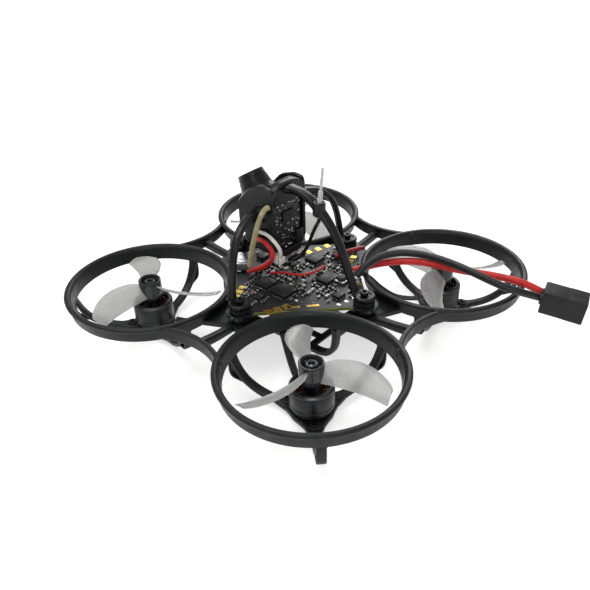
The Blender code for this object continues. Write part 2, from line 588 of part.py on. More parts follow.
def main():
    clear_scene()
    materials = {
        "nylon": make_material("black_nylon", (0.026, 0.027, 0.029), 0.5),
        "plastic": make_material("black_abs", (0.016, 0.016, 0.018), 0.38),
        "board": make_material("black_laminate", (0.012, 0.013, 0.016), 0.35),
        "rubber": make_material("black_rubber", (0.03, 0.03, 0.032), 0.8),
        "aluminium": make_material("black_anodised", (0.03, 0.03, 0.033), 0.35, 0.8),
        "copper": make_material("enamelled_copper", (0.45, 0.12, 0.05), 0.35, 0.9),
        "steel": make_material("steel", (0.45, 0.45, 0.46), 0.3, 1.0),
        "glass": make_material("lens_glass", (0.02, 0.02, 0.05), 0.05),
        "blade": make_material("smoke_polycarbonate", (0.4, 0.4, 0.37), 0.25, alpha=0.6),
        "silicone_red": make_material("red_silicone", (0.58, 0.03, 0.02), 0.45),
        "silicone_black": make_material("black_silicone", (0.02, 0.02, 0.02), 0.45),
        "silicone_white": make_material("white_silicone", (0.8, 0.8, 0.78), 0.45),
        "sleeve_grey": make_material("grey_sleeve", (0.4, 0.4, 0.4), 0.5),
        "sleeve_tan": make_material("tan_sleeve", (0.28, 0.25, 0.14), 0.5),
    }
    for corner in CORNERS:
        make_duct(corner, materials["nylon"])
        make_motor(corner, materials)
        make_propeller(corner, materials["blade"])
        make_motor_wires(corner, materials["silicone_black"])
    for side in SIDES:
        make_bridge(side, materials["nylon"])
        make_grommet(side, materials["rubber"])
        make_screw(side, materials["steel"])
    make_battery_tray(materials["nylon"])
    make_board(materials["board"])
    make_usb_socket(materials["steel"])
    make_bind_button(materials["plastic"])
    make_canopy(materials["plastic"])
    make_camera(materials)
    make_camera_board(materials["board"])
    make_antennas(materials)
    make_small_wires(materials)
    wire("battery_lead_red", RED_ROUTE, LEAD_DIAMETER, materials["silicone_red"])
    wire("battery_lead_black", BLACK_ROUTE, LEAD_DIAMETER, materials["silicone_black"])
    make_plug(materials["plastic"])


main()
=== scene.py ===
"""Looks of a palm drone: a small quadcopter whose propellers turn inside ring ducts.

Lengths in the shape functions are millimetres; they become metres where a piece is made. +Z is up, the drone
faces +Y, and the origin is on the ground under the middle of the four ducts.
"""

# %% [markdown]
# # A palm drone in layers
# The moving frame of the drone is already settled: its plain solids are loaded here. Every cell below makes
# one real piece of it again with a finer surface, or one real finish, and ties it to a body.

# %% The frame that everything sits on
import math

import bmesh
import bpy
import numpy as np
from mathutils import Matrix, Vector


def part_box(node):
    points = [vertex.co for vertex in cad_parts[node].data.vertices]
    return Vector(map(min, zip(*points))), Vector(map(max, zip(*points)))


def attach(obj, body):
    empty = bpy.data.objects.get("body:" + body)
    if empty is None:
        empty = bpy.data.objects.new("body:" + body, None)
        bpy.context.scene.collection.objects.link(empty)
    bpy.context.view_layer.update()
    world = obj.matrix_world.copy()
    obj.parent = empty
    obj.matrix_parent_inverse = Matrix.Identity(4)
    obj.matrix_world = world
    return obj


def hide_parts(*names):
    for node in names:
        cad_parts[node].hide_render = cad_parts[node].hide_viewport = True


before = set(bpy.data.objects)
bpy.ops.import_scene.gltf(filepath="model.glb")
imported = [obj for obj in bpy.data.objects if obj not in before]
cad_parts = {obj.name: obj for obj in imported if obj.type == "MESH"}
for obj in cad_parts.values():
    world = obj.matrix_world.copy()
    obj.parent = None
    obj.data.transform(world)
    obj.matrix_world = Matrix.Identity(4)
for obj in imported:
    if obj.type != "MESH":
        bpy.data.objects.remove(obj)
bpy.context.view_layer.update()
MM = 0.001
CORNERS = {"front_left": (-1, 1), "front_right": (1, 1), "rear_left": (-1, -1), "rear_right": (1, -1)}
SIDES = {"left": 180.0, "rear": 270.0, "right": 0.0, "front": 90.0}


def span(node):
    """Lowest and highest corner of a solid, in millimetres."""
    return [np.array(corner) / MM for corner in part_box(node)]


duct_low, duct_high = span("duct_front_right")
DUCT = (duct_low[0] + duct_high[0]) / 2  # a motor axis stands this far out along X and along Y
RING_R = (duct_high[0] - duct_low[0]) / 2
RING_TOP = duct_high[2]
RING_FOOT = RING_TOP - 3.4  # underside of a ring wall
WEB_FOOT = span("bridge_left")[0][2]  # underside of the webs that tie the rings
POST = span("screw_right")[1][0] - 0.95  # from the middle of the drone to a mounting post
BOARD_LOW, BOARD_HIGH = (corner[2] for corner in span("flight_controller"))
WEB_EDGE = 17.25  # radius that a web's edge follows, inside the ring wall
BOARD_CUT = 18.8  # radius that hollows the board's edges, half a millimetre clear of the rings
BOLT_CIRCLE = 5.3  # from a motor's axis to its three bolts
print(f"motor axes at {DUCT:.2f} mm, rings {RING_R:.2f} mm in radius, board top at {BOARD_HIGH:.1f} mm")

# %% [markdown]
# ## Shapes from arrays
# A shape is a pair: an array of points and a list of faces. Each helper computes all its points at once from a
# grid of two parameters, which is quicker than modelling by hand and stays exact when a size changes.

# %% Grids, outlines and curves


def grid_faces(rows, columns, wrap_rows=False):
    """Quads of a grid whose columns close on themselves, each between neighbours in row and column."""
    r = np.arange(rows if wrap_rows else rows - 1)[:, None]
    c = np.arange(columns)[None, :]
    right, below = (c + 1) % columns, (r + 1) % rows
    quads = [r * columns + c, r * columns + right, below * columns + right, below * columns + c]
    return np.stack(np.broadcast_arrays(*quads), axis=-1).reshape(-1, 4).tolist()


def unit(vectors):
    """Each vector divided by its length."""
    return vectors / np.maximum(np.linalg.norm(vectors, axis=-1, keepdims=True), 1e-9)


def softened(corners, cut, steps=4, loop=True):
    """Corner p becomes the curve (1-t)^2 a + 2t(1-t) p + t^2 b, with a and b `cut` along its two sides."""
    p = np.array(corners, float)
    back, ahead = np.roll(p, 1, axis=0) - p, np.roll(p, -1, axis=0) - p
    reach = [np.minimum(cut, 0.45 * np.linalg.norm(side, axis=1, keepdims=True)) for side in (back, ahead)]
    a, b = p + unit(back) * reach[0], p + unit(ahead) * reach[1]
    t = np.linspace(0, 1, steps)[None, :, None]
    curve = (1 - t) ** 2 * a[:, None] + 2 * t * (1 - t) * p[:, None] + t**2 * b[:, None]
    if loop:
        return curve.reshape(-1, p.shape[1])
    return np.concatenate([p[:1], curve[1:-1].reshape(-1, p.shape[1]), p[-1:]])


def curve_through(knots, steps=8):
    """Catmull-Rom, from b to c beside a and d: (2b + (c-a)t + (2a-5b+4c-d)t^2 + (3b-a-3c+d)t^3) / 2."""
    k = np.array(knots, float)
    k = np.concatenate([[2 * k[0] - k[1]], k, [2 * k[-1] - k[-2]]])
    a, b, c, d = (k[i : len(k) - 3 + i, None] for i in range(4))
    t = (np.arange(steps) / steps)[None, :, None]
    run = 0.5 * (2 * b + (c - a) * t + (2 * a - 5 * b + 4 * c - d) * t**2 + (3 * b - a - 3 * c + d) * t**3)
    return np.concatenate([run.reshape(-1, k.shape[1]), k[-2:-1]])


def oval(power=2.0, count=16):
    """A unit outline |x|^power + |y|^power = 1: a circle at 2, a square with soft corners above it."""
    a = np.linspace(0, math.tau, count, endpoint=False) + math.pi / count
    x, y = np.cos(a), np.sin(a)
    return np.stack([np.sign(x) * np.abs(x) ** (2 / power), np.sign(y) * np.abs(y) ** (2 / power)], axis=-1)


# %% Solids that grow from them


def lathe(profile, count=48):
    """A (radius, height) profile turned about +Z. A profile that starts off the axis closes on itself."""
    radius, height = np.array(profile, float).T
    a = np.linspace(0, math.tau, count, endpoint=False)
    ring = np.stack([np.outer(radius, np.cos(a)), np.outer(radius, np.sin(a)),
                     np.outer(height, np.ones(count))], -1)
    return ring.reshape(-1, 3), grid_faces(len(radius), count, wrap_rows=radius[0] > 1e-6)


def swept(path, section, across, width=1.0, height=1.0):
    """Section point (s, t) at path point p goes to p + s width side + t height up; side is `across` squared."""
    path = np.array(path, float)
    along = unit(np.gradient(path, axis=0))
    across = np.broadcast_to(np.array(across, float), path.shape)
    side = unit(across - along * np.sum(across * along, axis=1, keepdims=True))
    up = np.cross(along, side)
    w, h = (np.broadcast_to(np.asarray(size, float), len(path))[:, None, None] for size in (width, height))
    skin = path[:, None] + section[None, :, :1] * w * side[:, None] + section[None, :, 1:] * h * up[:, None]
    ends = [np.broadcast_to(path[k], (1, len(section), 3)) for k in (0, -1)]
    return np.concatenate([ends[0], skin, ends[1]]).reshape(-1, 3), grid_faces(len(path) + 2, len(section))


def stacked(rows, wrap_rows=False):
    """(outline, level) rows joined in turn: a point (x, y) of an outline goes to (x, y, level)."""
    skin = np.stack([np.column_stack([ring, np.full(len(ring), level)]) for ring, level in rows])
    return skin.reshape(-1, 3), grid_faces(len(rows), skin.shape[1], wrap_rows)


def stood(shape, order):
    """The same shape with its axes dealt out again, as (2, 0, 1) puts the drawn height along X."""
    return shape[0][:, order], shape[1]


def plate(outline, low, high, edge=0.15):
    """An (x, y) outline, anticlockwise, stood up from low to high, its rims drawn in by `edge`."""
    outline = np.array(outline, float)
    along = unit(np.roll(outline, -1, axis=0) - np.roll(outline, 1, axis=0))
    inner = outline + np.stack([-along[:, 1], along[:, 0]], axis=-1) * edge
    points, faces = stacked([(inner, low), (outline, low + edge), (outline, high - edge), (inner, high)])
    count = len(outline)
    rims = [list(range(count))[::-1], list(range(3 * count, 4 * count))]
    return points, faces + rims


def block(size, radius=0.15, steps=3):
    """A box with rounded edges: an eighth of a ball at each corner, pulled apart by the flats between them."""
    half = np.array(size, float) / 2
    radius = min(radius, half.min() * 0.98)
    turn = np.radians((np.arange(4)[:, None] * 90 + np.linspace(0, 90, steps)).ravel())
    tilt = np.radians(np.concatenate([np.linspace(-90, 0, steps), np.linspace(0, 90, steps)]))
    flat = np.ones_like(turn)
    ball = np.stack([np.outer(np.cos(tilt), np.cos(turn)), np.outer(np.cos(tilt), np.sin(turn)),
                     np.outer(np.sin(tilt), flat)], -1)
    corner_x = np.repeat([1, -1, -1, 1], steps)
    corner_y = np.repeat([1, 1, -1, -1], steps)
    corner_z = np.repeat([-1, 1], steps)
    corners = np.stack([np.outer(np.ones(2 * steps), corner_x), np.outer(np.ones(2 * steps), corner_y),
                        np.outer(corner_z, flat)], -1)
    skin = corners * (half - radius) + radius * ball
    poles = [np.broadcast_to([0, 0, sign * half[2]], (1, len(turn), 3)) for sign in (-1, 1)]
    return np.concatenate([poles[0], skin, poles[1]]).reshape(-1, 3), grid_faces(2 * steps + 2, len(turn))


def turned(shape, axis, degrees):
    """The shape turned about a row axis through the origin."""
    spin = np.array(Matrix.Rotation(math.radians(degrees), 3, axis))
    return shape[0] @ spin.T, shape[1]


def moved(shape, at, turn=0.0):
    """The shape turned about +Z and carried to its place."""
    points, faces = turned(shape, "Z", turn)
    return points + np.array(at, float), faces


def many(shape, places, turns=0.0, sizes=(1.0, 1.0, 1.0)):
    """Copies in one array: each is scaled by its size, turned about +Z by its angle and moved to its place."""
    places = np.atleast_2d(np.array(places, float))
    a = np.radians(np.broadcast_to(turns, len(places)))[:, None]
    scaled = shape[0][None] * np.broadcast_to(sizes, (len(places), 3))[:, None]
    x, y = scaled[..., 0], scaled[..., 1]
    points = np.stack([x * np.cos(a) - y * np.sin(a), x * np.sin(a) + y * np.cos(a), scaled[..., 2]], -1)
    points += places[:, None]
    shift = np.arange(len(places))[:, None, None] * len(shape[0])
    return points.reshape(-1, 3), (np.array(shape[1])[None] + shift).reshape(-1, 4).tolist()


# %% A named piece from shapes and finishes


def piece(name, body, *parts, replaces=(), slot=None, sharp=35.0):
    """One mesh from (shape, material) pairs: doubles merged, faces turned out, riding on a body."""
    points, faces, slots, materials, start = [], [], [], [], 0
    for (skin, quads), material in parts:
        if material not in materials:
            materials.append(material)
        points.append(skin)
        faces += [[start + corner for corner in quad] for quad in quads]
        slots += [materials.index(material)] * len(quads)
        start += len(skin)
    mesh = bpy.data.meshes.new(name)
    mesh.from_pydata(np.concatenate(points) * MM, [], faces)
    for material in materials:
        mesh.materials.append(material)
    mesh.polygons.foreach_set("material_index", slots)
    bm = bmesh.new()
    bm.from_mesh(mesh)
    bmesh.ops.remove_doubles(bm, verts=bm.verts, dist=0.001 * MM)
    bmesh.ops.recalc_face_normals(bm, faces=bm.faces)
    bm.to_mesh(mesh)
    bm.free()
    mesh.shade_smooth()
    mesh.set_sharp_from_angle(angle=math.radians(sharp))
    made = bpy.data.objects.new(name, mesh)
    bpy.context.scene.collection.objects.link(made)
    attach(made, body)
    if replaces:
        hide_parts(*replaces)
    return made


# %% [markdown]
# ## Finishes
# Each material is built from nodes for what the real surface is and how it was made. Colours are written as
# the sRGB hex values a designer would read off a sample, and turned to linear light once.

# %% Colours and nodes


def linear(code):
    """sRGB hex to linear light: a share s up to 0.04045 is s / 12.92, above it ((s + 0.055) / 1.055)^2.4."""
    s = np.array([int(code[k : k + 2], 16) for k in (1, 3, 5)]) / 255
    return (*np.where(s <= 0.04045, s / 12.92, ((s + 0.055) / 1.055) ** 2.4).tolist(), 1.0)


def add(tree, kind, settings=None, inputs=None):
    """One node, with its settings, and each input either set to a value or linked to another node's output."""
    node = tree.nodes.new(kind)
    for key, value in (settings or {}).items():
        setattr(node, key, value)
    for key, value in (inputs or {}).items():
        if isinstance(value, bpy.types.NodeSocket):
            tree.links.new(value, node.inputs[key])
        else:
            node.inputs[key].default_value = value
    return node


def new_finish(name, colour, **sockets):
    """A material with one shader, and the coordinates of the piece to draw its patterns on."""
    made = bpy.data.materials.new(name)
    made.use_nodes = True
    tree = made.node_tree
    shader = tree.nodes["Principled BSDF"]
    shader.inputs["Base Color"].default_value = linear(colour)
    for key, value in sockets.items():
        shader.inputs[key.replace("_", " ")].default_value = value
    made.diffuse_color = linear(colour)
    coords = add(tree, "ShaderNodeTexCoord").outputs["Object"]
    return made, tree, shader, coords


def grain(tree, shader, coords, size, depth, strength=0.4, detail=3.0):
    """Fine relief: noise lumps `size` wide bend the normals as if they stood `depth` proud, in millimetres."""
    noise = add(tree, "ShaderNodeTexNoise", inputs={"Vector": coords, "Scale": 1 / (size * MM),
                                                    "Detail": detail})
    relief = add(tree, "ShaderNodeBump", inputs={"Height": noise.outputs["Fac"], "Distance": depth * MM,
                                                 "Strength": strength})
    tree.links.new(relief.outputs["Normal"], shader.inputs["Normal"])
    return noise.outputs["Fac"]


def mottle(tree, shader, coords, size, dark, light, low=0.35, high=0.65):
    """Patches `size` millimetres wide that drift between two colours."""
    noise = add(tree, "ShaderNodeTexNoise", inputs={"Vector": coords, "Scale": 1 / (size * MM),
                                                    "Detail": 4.0})
    ramp = add(tree, "ShaderNodeValToRGB", inputs={"Fac": noise.outputs["Fac"]})
    for stop, position, colour in zip(ramp.color_ramp.elements, (low, high), (dark, light)):
        stop.position, stop.color = position, linear(colour)
    tree.links.new(ramp.outputs["Color"], shader.inputs["Base Color"])
    return ramp.outputs["Color"]


def gloss_drift(tree, shader, coords, size, low, high):
    """Roughness that wanders between two values in patches, as handled plastic does."""
    noise = add(tree, "ShaderNodeTexNoise", inputs={"Vector": coords, "Scale": 1 / (size * MM),
                                                    "Detail": 2.0})
    drift = add(tree, "ShaderNodeMapRange", inputs={"Value": noise.outputs["Fac"], "From Min": 0.3,
                                                    "From Max": 0.7, "To Min": low, "To Max": high})
    tree.links.new(drift.outputs["Result"], shader.inputs["Roughness"])


# %% [markdown]
# ### Plastics and rubbers
# The frame is injection-moulded black nylon: a fine spark-eroded grain of about 0.12 mm and a broad soft
# highlight. The canopy is smoother ABS. The propellers are clear polycarbonate with a grey smoke in it.

# %% Moulded plastics


def moulded_plastic(name, dark, light, rough, grain_size=0.12, grain_depth=0.012):
    """Two close tones, a drifting gloss and the tool's fine grain."""
    made, tree, shader, coords = new_finish(name, dark, IOR=1.5, Specular_IOR_Level=0.3)
    mottle(tree, shader, coords, 2.6, dark, light)
    gloss_drift(tree, shader, coords, 1.8, rough - 0.06, rough + 0.08)
    grain(tree, shader, coords, grain_size, grain_depth)
    return made


black_nylon = moulded_plastic("black_nylon_moulded", "#0e0f10", "#161718", 0.42)
black_abs = moulded_plastic("black_abs_canopy", "#0a0b0c", "#121314", 0.3, 0.2, 0.006)
plug_nylon = moulded_plastic("plug_nylon_moulded", "#111112", "#19191a", 0.5, 0.16, 0.014)
camera_abs = moulded_plastic("camera_abs_satin", "#0b0b0d", "#131315", 0.28, 0.2, 0.004)
grommet_rubber = moulded_plastic("grommet_rubber_matte", "#0b0b0c", "#121213", 0.75, 0.1, 0.01)
connector_white = moulded_plastic("connector_nylon_white", "#cfcdc4", "#dddbd3", 0.42, 0.2, 0.004)


def smoke_polycarbonate(name, tint, rough, through):
    """Clear moulded sheet: most light passes, a little haze stays, and flow lines ripple the surface."""
    made, tree, shader, coords = new_finish(name, tint, IOR=1.3, Transmission_Weight=through, Coat_Weight=0.3,
                                            Coat_Roughness=0.1)
    gloss_drift(tree, shader, coords, 2.0, rough - 0.04, rough + 0.04)
    grain(tree, shader, coords, 3.0, 0.01, strength=0.08, detail=0.0)
    return made


blade_clear = smoke_polycarbonate("polycarbonate_blade_haze", "#bfbfbc", 0.3, 0.6)
hub_smoke = smoke_polycarbonate("polycarbonate_hub_smoke", "#323335", 0.2, 0.3)


def silicone_jacket(name, dark, light, rough=0.42):
    """Soft extruded jacket: a dusty bloom in the tone and a faint orange-peel skin."""
    made, tree, shader, coords = new_finish(name, dark, IOR=1.41, Sheen_Weight=0.15, Sheen_Roughness=0.4)
    mottle(tree, shader, coords, 1.5, dark, light)
    gloss_drift(tree, shader, coords, 1.0, rough - 0.06, rough + 0.1)
    grain(tree, shader, coords, 0.35, 0.012)
    return made


red_silicone = silicone_jacket("silicone_red", "#b01a18", "#cc2825")
sleeve_dark_red = silicone_jacket("sleeve_dark_red", "#6f1620", "#8a222c", 0.3)
black_silicone = silicone_jacket("silicone_black", "#0c0d0e", "#151617", 0.36)
white_silicone = silicone_jacket("silicone_white", "#c9c7be", "#dedcd4")
tan_sleeve = silicone_jacket("sleeve_tan", "#8d845c", "#a89f78", 0.34)
grey_sleeve = silicone_jacket("sleeve_grey", "#a9aaab", "#bebfc0", 0.36)

# %% [markdown]
# ### Metals
# The motor cans are black anodised aluminium: the turned grooves, about 0.1 mm apart, show as a fine ring
# sheen. The windings are copper under a red-brown enamel. Pads and part ends are gold plate and tin.

# %% Turned, drawn and plated metals


def turned_metal(name, dark, light, rough, groove=0.12, depth=0.006, metallic=1.0):
    """Lathe marks: bands across the height, a groove apart, over a slow change of tone."""
    made, tree, shader, coords = new_finish(name, dark, Metallic=metallic)
    mottle(tree, shader, coords, 1.8, dark, light)
    gloss_drift(tree, shader, coords, 1.2, rough - 0.05, rough + 0.07)
    bands = add(tree, "ShaderNodeTexWave", {"wave_type": "BANDS", "bands_direction": "Z"},
                {"Vector": coords, "Scale": 0.3142 / (groove * MM), "Distortion": 0.6, "Detail": 1.0})
    relief = add(tree, "ShaderNodeBump", inputs={"Height": bands.outputs["Fac"], "Distance": depth * MM,
                                                 "Strength": 0.35})
    tree.links.new(relief.outputs["Normal"], shader.inputs["Normal"])
    return made


anodised_can = turned_metal("aluminium_anodised_black", "#0d0e10", "#16171a", 0.36, metallic=0.4)
# Paler metal for the thin ring on each bell's top chamfer: a painted highlight along that edge.
rim_painted_highlight = turned_metal("aluminium_rim_painted_highlight", "#3c3d40", "#56575a", 0.3)
steel_shaft = turned_metal("steel_ground_bright", "#a9aaad", "#c8c9cc", 0.2, 0.08, 0.003)
screw_steel = turned_metal("steel_black_oxide", "#161618", "#26272a", 0.36, 0.2, 0.004, metallic=0.8)


def plated_metal(name, dark, light, rough, lumps=0.3, depth=0.02):
    """A plated or soldered surface: metal with soft uneven flow."""
    made, tree, shader, coords = new_finish(name, dark, Metallic=1.0)
    mottle(tree, shader, coords, 0.6, dark, light)
    gloss_drift(tree, shader, coords, 0.5, rough - 0.06, rough + 0.1)
    grain(tree, shader, coords, lumps, depth, strength=0.5, detail=1.0)
    return made


tin_solder = plated_metal("tin_solder_reflowed", "#9b9c9b", "#c6c6c2", 0.3)
gold_plate = plated_metal("gold_plate_immersion", "#b8963e", "#d9bb62", 0.3, 0.4, 0.008)
shell_steel = plated_metal("nickel_shell_drawn", "#9b9c9f", "#c2c3c5", 0.26, 0.8, 0.006)


def winding_copper():
    """Enamelled wire: copper in drifting patches under a glossy coat; its turns are ribs in the coil."""
    made, tree, shader, coords = new_finish("copper_enamelled_winding", "#8a3c26", Metallic=0.85,
                                            Coat_Weight=0.6, Coat_Roughness=0.15)
    mottle(tree, shader, coords, 0.7, "#6f2a1c", "#a9502f")
    gloss_drift(tree, shader, coords, 0.6, 0.24, 0.36)
    return made


copper_winding = winding_copper()

# %% [markdown]
# ### Circuit boards
# A board is glass laminate with a black solder mask. Buried copper shows through as slightly lighter traces,
# about 0.35 mm apart, and plated vias as bright dots. Its cut edge shows the bare yellow-green laminate.

# %% Solder mask, laminate and part bodies


def solder_mask():
    """Bands that turn from cell to cell are cut off to traces; small Voronoi cells give the vias."""
    made, tree, shader, coords = new_finish("solder_mask_black", "#0c0d0f", IOR=1.52, Coat_Weight=0.15,
                                            Coat_Roughness=0.3, Roughness=0.42, Specular_IOR_Level=0.25)
    patch = add(tree, "ShaderNodeTexVoronoi", {"distance": "MANHATTAN"},
                {"Vector": coords, "Scale": 1 / (3.2 * MM)})
    choice = add(tree, "ShaderNodeSeparateColor", inputs={"Color": patch.outputs["Color"]})
    bands = [add(tree, "ShaderNodeTexWave", {"wave_type": "BANDS", "bands_direction": way},
                 {"Vector": coords, "Scale": 0.3142 / (0.7 * MM), "Distortion": 0.0}).outputs["Fac"]
             for way in ("DIAGONAL", "X")]
    pick = add(tree, "ShaderNodeMath", {"operation": "GREATER_THAN"}, {0: choice.outputs["Red"], 1: 0.55})
    mixed = add(tree, "ShaderNodeMix", {"data_type": "FLOAT"}, {0: pick.outputs[0], 2: bands[0], 3: bands[1]})
    trace = add(tree, "ShaderNodeMath", {"operation": "GREATER_THAN"}, {0: mixed.outputs[0], 1: 0.72})
    tone = add(tree, "ShaderNodeMix", {"data_type": "RGBA"},
               {0: trace.outputs[0], 6: linear("#0c0d0f"), 7: linear("#26292d")})
    cells = add(tree, "ShaderNodeTexVoronoi", inputs={"Vector": coords, "Scale": 1 / (1.5 * MM)})
    via = add(tree, "ShaderNodeMath", {"operation": "LESS_THAN"}, {0: cells.outputs["Distance"], 1: 0.1})
    final = add(tree, "ShaderNodeMix", {"data_type": "RGBA"},
                {0: via.outputs[0], 6: tone.outputs[2], 7: linear("#8f908c")})
    tree.links.new(final.outputs[2], shader.inputs["Base Color"])
    relief = add(tree, "ShaderNodeBump", inputs={"Height": trace.outputs[0], "Distance": 0.02 * MM,
                                                 "Strength": 0.5})
    tree.links.new(relief.outputs["Normal"], shader.inputs["Normal"])
    return made


board_mask = solder_mask()
board_edge = moulded_plastic("glass_laminate_cut", "#5f6330", "#878c48", 0.6, 0.08, 0.02)
chip_epoxy = moulded_plastic("chip_epoxy_moulded", "#111213", "#1a1b1c", 0.4, 0.08, 0.01)
part_tan = moulded_plastic("ceramic_tan_fired", "#5f4d3a", "#7d6850", 0.4, 0.1, 0.004)
part_pale = moulded_plastic("ceramic_white_fired", "#b4b2aa", "#cfcdc5", 0.35, 0.1, 0.004)
part_dark = moulded_plastic("ferrite_dark", "#33312f", "#46423e", 0.5, 0.1, 0.01)
lamination = turned_metal("electrical_steel_stack", "#5b5c60", "#7c7d80", 0.4, 0.2, 0.02)


def coated_glass():
    """Near-black lens glass, turning violet at grazing angles: a painted reflection of its coating."""
    made, tree, shader, coords = new_finish("lens_glass_coated", "#0d0c18", IOR=1.7, Roughness=0.04,
                                            Coat_Weight=1.0, Coat_Roughness=0.02)
    # Painted reflection: the base colour mixes towards violet as the surface turns away from the view.
    facing = add(tree, "ShaderNodeLayerWeight", inputs={"Blend": 0.35})
    tone = add(tree, "ShaderNodeMix", {"data_type": "RGBA"},
               {0: facing.outputs["Facing"], 6: linear("#120d26"), 7: linear("#3c2a66")})
    tree.links.new(tone.outputs[2], shader.inputs["Base Color"])
    return made


lens_coating = coated_glass()
print(f"{len(bpy.data.materials)} finishes")

# %% [markdown]
# ## Camera, floor and light
# The camera looks down from the drone's rear left with a lens of about 42 mm. A pale floor and a bright, even
# room give a clean product picture; two soft boxes add the broad highlights that show a curved edge.

# %% The picture's point of view
VIEW_AT = Vector((-97.49, -85.87, 89.76)) * MM
LOOK = Vector((0.6296, 0.5610, -0.5376)).normalized()
ROLL = math.radians(-1.6155)
level = LOOK.cross(Vector((0, 0, 1))).normalized()
over = level.cross(LOOK)
right = level * math.cos(ROLL) + over * math.sin(ROLL)
upward = over * math.cos(ROLL) - level * math.sin(ROLL)
lens = bpy.data.cameras.new("camera_view")
lens.lens, lens.sensor_width, lens.clip_start, lens.clip_end = 41.665, 36.0, 0.005, 20.0
viewer = bpy.data.objects.new("camera_view", lens)
viewer.matrix_world = Matrix.Translation(VIEW_AT) @ Matrix((right, upward, -LOOK)).transposed().to_4x4()
bpy.context.scene.collection.objects.link(viewer)
bpy.context.scene.camera = viewer

# %% Floor and lights
paper, tree, shader, coords = new_finish("paper_white_backdrop", "#c8c8c7", Roughness=0.75,
                                         Emission_Color=(1.0, 1.0, 1.0, 1.0), Emission_Strength=0.6)
mottle(tree, shader, coords, 60.0, "#c6c6c5", "#cacac9")
floor_mesh = bpy.data.meshes.new("floor")
floor_mesh.from_pydata([(-3, -3, 0), (3, -3, 0), (3, 3, 0), (-3, 3, 0)], [], [(0, 1, 2, 3)])
floor_mesh.materials.append(paper)
floor = bpy.data.objects.new("floor", floor_mesh)
bpy.context.scene.collection.objects.link(floor)

room = bpy.data.worlds.new("room")
room.use_nodes = True
room.node_tree.nodes["Background"].inputs["Color"].default_value = (1.0, 1.0, 1.0, 1.0)
room.node_tree.nodes["Background"].inputs["Strength"].default_value = 0.5
bpy.context.scene.world = room
bpy.context.scene.view_settings.view_transform = "Standard"


def soft_box(name, at, size, power):
    """A square light at a place, in metres, that faces the drone."""
    made = bpy.data.lights.new(name, "AREA")
    made.shape, made.size, made.energy = "SQUARE", size, power
    box = bpy.data.objects.new(name, made)
    aim = Vector((0, 0, 0.015)) - Vector(at)
    box.matrix_world = Matrix.Translation(at) @ aim.to_track_quat("-Z", "Y").to_matrix().to_4x4()
    bpy.context.scene.collection.objects.link(box)


soft_box("soft_box_over", (-0.1, 0.15, 0.7), 0.5, 3.0)
soft_box("soft_box_side", (0.55, 0.3, 0.35), 0.35, 1.6)
soft_box("soft_box_near", (-0.5, -0.45, 0.5), 0.4, 1.2)
print("camera, floor and three soft boxes")

# %% [markdown]
# ## Battery leads
# Two silicone-jacketed leads leave their solder pads at the rear of the board, rest on the ring of the rear
# right duct and carry the plug just beyond it. A lead is a round section swept along a smooth curve.

# %% Routes of the leads, in millimetres
RED_ROUTE = [(7.5, -9.4, 13.2), (8.8, -10.1, 13.3), (11.0, -11.5, 13.7), (12.8, -13.8, 14.4),
             (14.8, -16.8, 15.0),
             (16.7, -20.0, 15.2), (18.2, -23.4, 15.1), (19.6, -26.8, 14.7), (21.4, -30.0, 14.2),
             (23.0, -33.3, 14.0),
             (24.2, -36.8, 13.9), (25.2, -40.2, 13.6), (26.0, -42.6, 12.9), (26.7, -44.6, 12.1)]
BLACK_ROUTE = [(6.0, -11.5, 13.1), (7.0, -11.7, 14.0), (8.6, -12.3, 15.2), (12.0, -13.8, 16.4),
               (15.0, -16.4, 16.9),
               (17.0, -19.6, 16.9), (18.1, -23.2, 16.8), (18.7, -27.1, 16.5), (19.0, -31.2, 16.0),
               (19.3, -35.2, 15.3), (20.0, -38.9, 14.5), (21.2, -41.4, 13.8), (22.8, -43.6, 13.0),
               (24.2, -45.1, 12.3)]
LEAD_THICK = 1.6
PLUG_AT, PLUG_YAW, PLUG_PITCH = (26.6, -49.4, 11.45), 16.4, 6.0


def wire(name, route, thick, material, across=(0, 0, 1), ends=()):
    """A round jacket of radius thick/2 along the curve through the route, its own ends drawn in a little."""
    path = curve_through(route, 10)
    size = np.full(len(path), thick / 2)
    size[[0, -1]] *= 0.75
    tube = swept(path, oval(2.0, 16), across, size, size)
    made = piece(name, "frame", (tube, material), *ends, replaces=(name.removesuffix("_jacket"),))
    return made, path


lead_red, red_path = wire("battery_lead_red_jacket", RED_ROUTE, LEAD_THICK, red_silicone)
lead_black, black_path = wire("battery_lead_black_jacket", BLACK_ROUTE, LEAD_THICK, black_silicone)

# %% The plug: a plain moulded box with two square sockets in its far end


def plug_part(shape):
    """Carry a shape drawn along +Y to the plug's place and lie."""
    return moved(turned(shape, "X", PLUG_PITCH), PLUG_AT, PLUG_YAW)


def socket_tube(side):
    """Half the plug's nose: a box outline and a square hole, both superellipses, from y = -4.35 to -0.6."""
    outer, hole = oval(24, 64) * (1.31, 2.5) + (side * 1.29, 0), oval(24, 64) * (0.72, 1.25) + (side * 1.2, 0)
    rows = [(hole, -0.6), (outer, -0.6), (outer, -4.2), (outer * 0.985, -4.35), (hole * (1, 1.05), -4.35),
            (hole, -4.2)]
    return stood(stacked(rows, wrap_rows=True), (0, 2, 1))


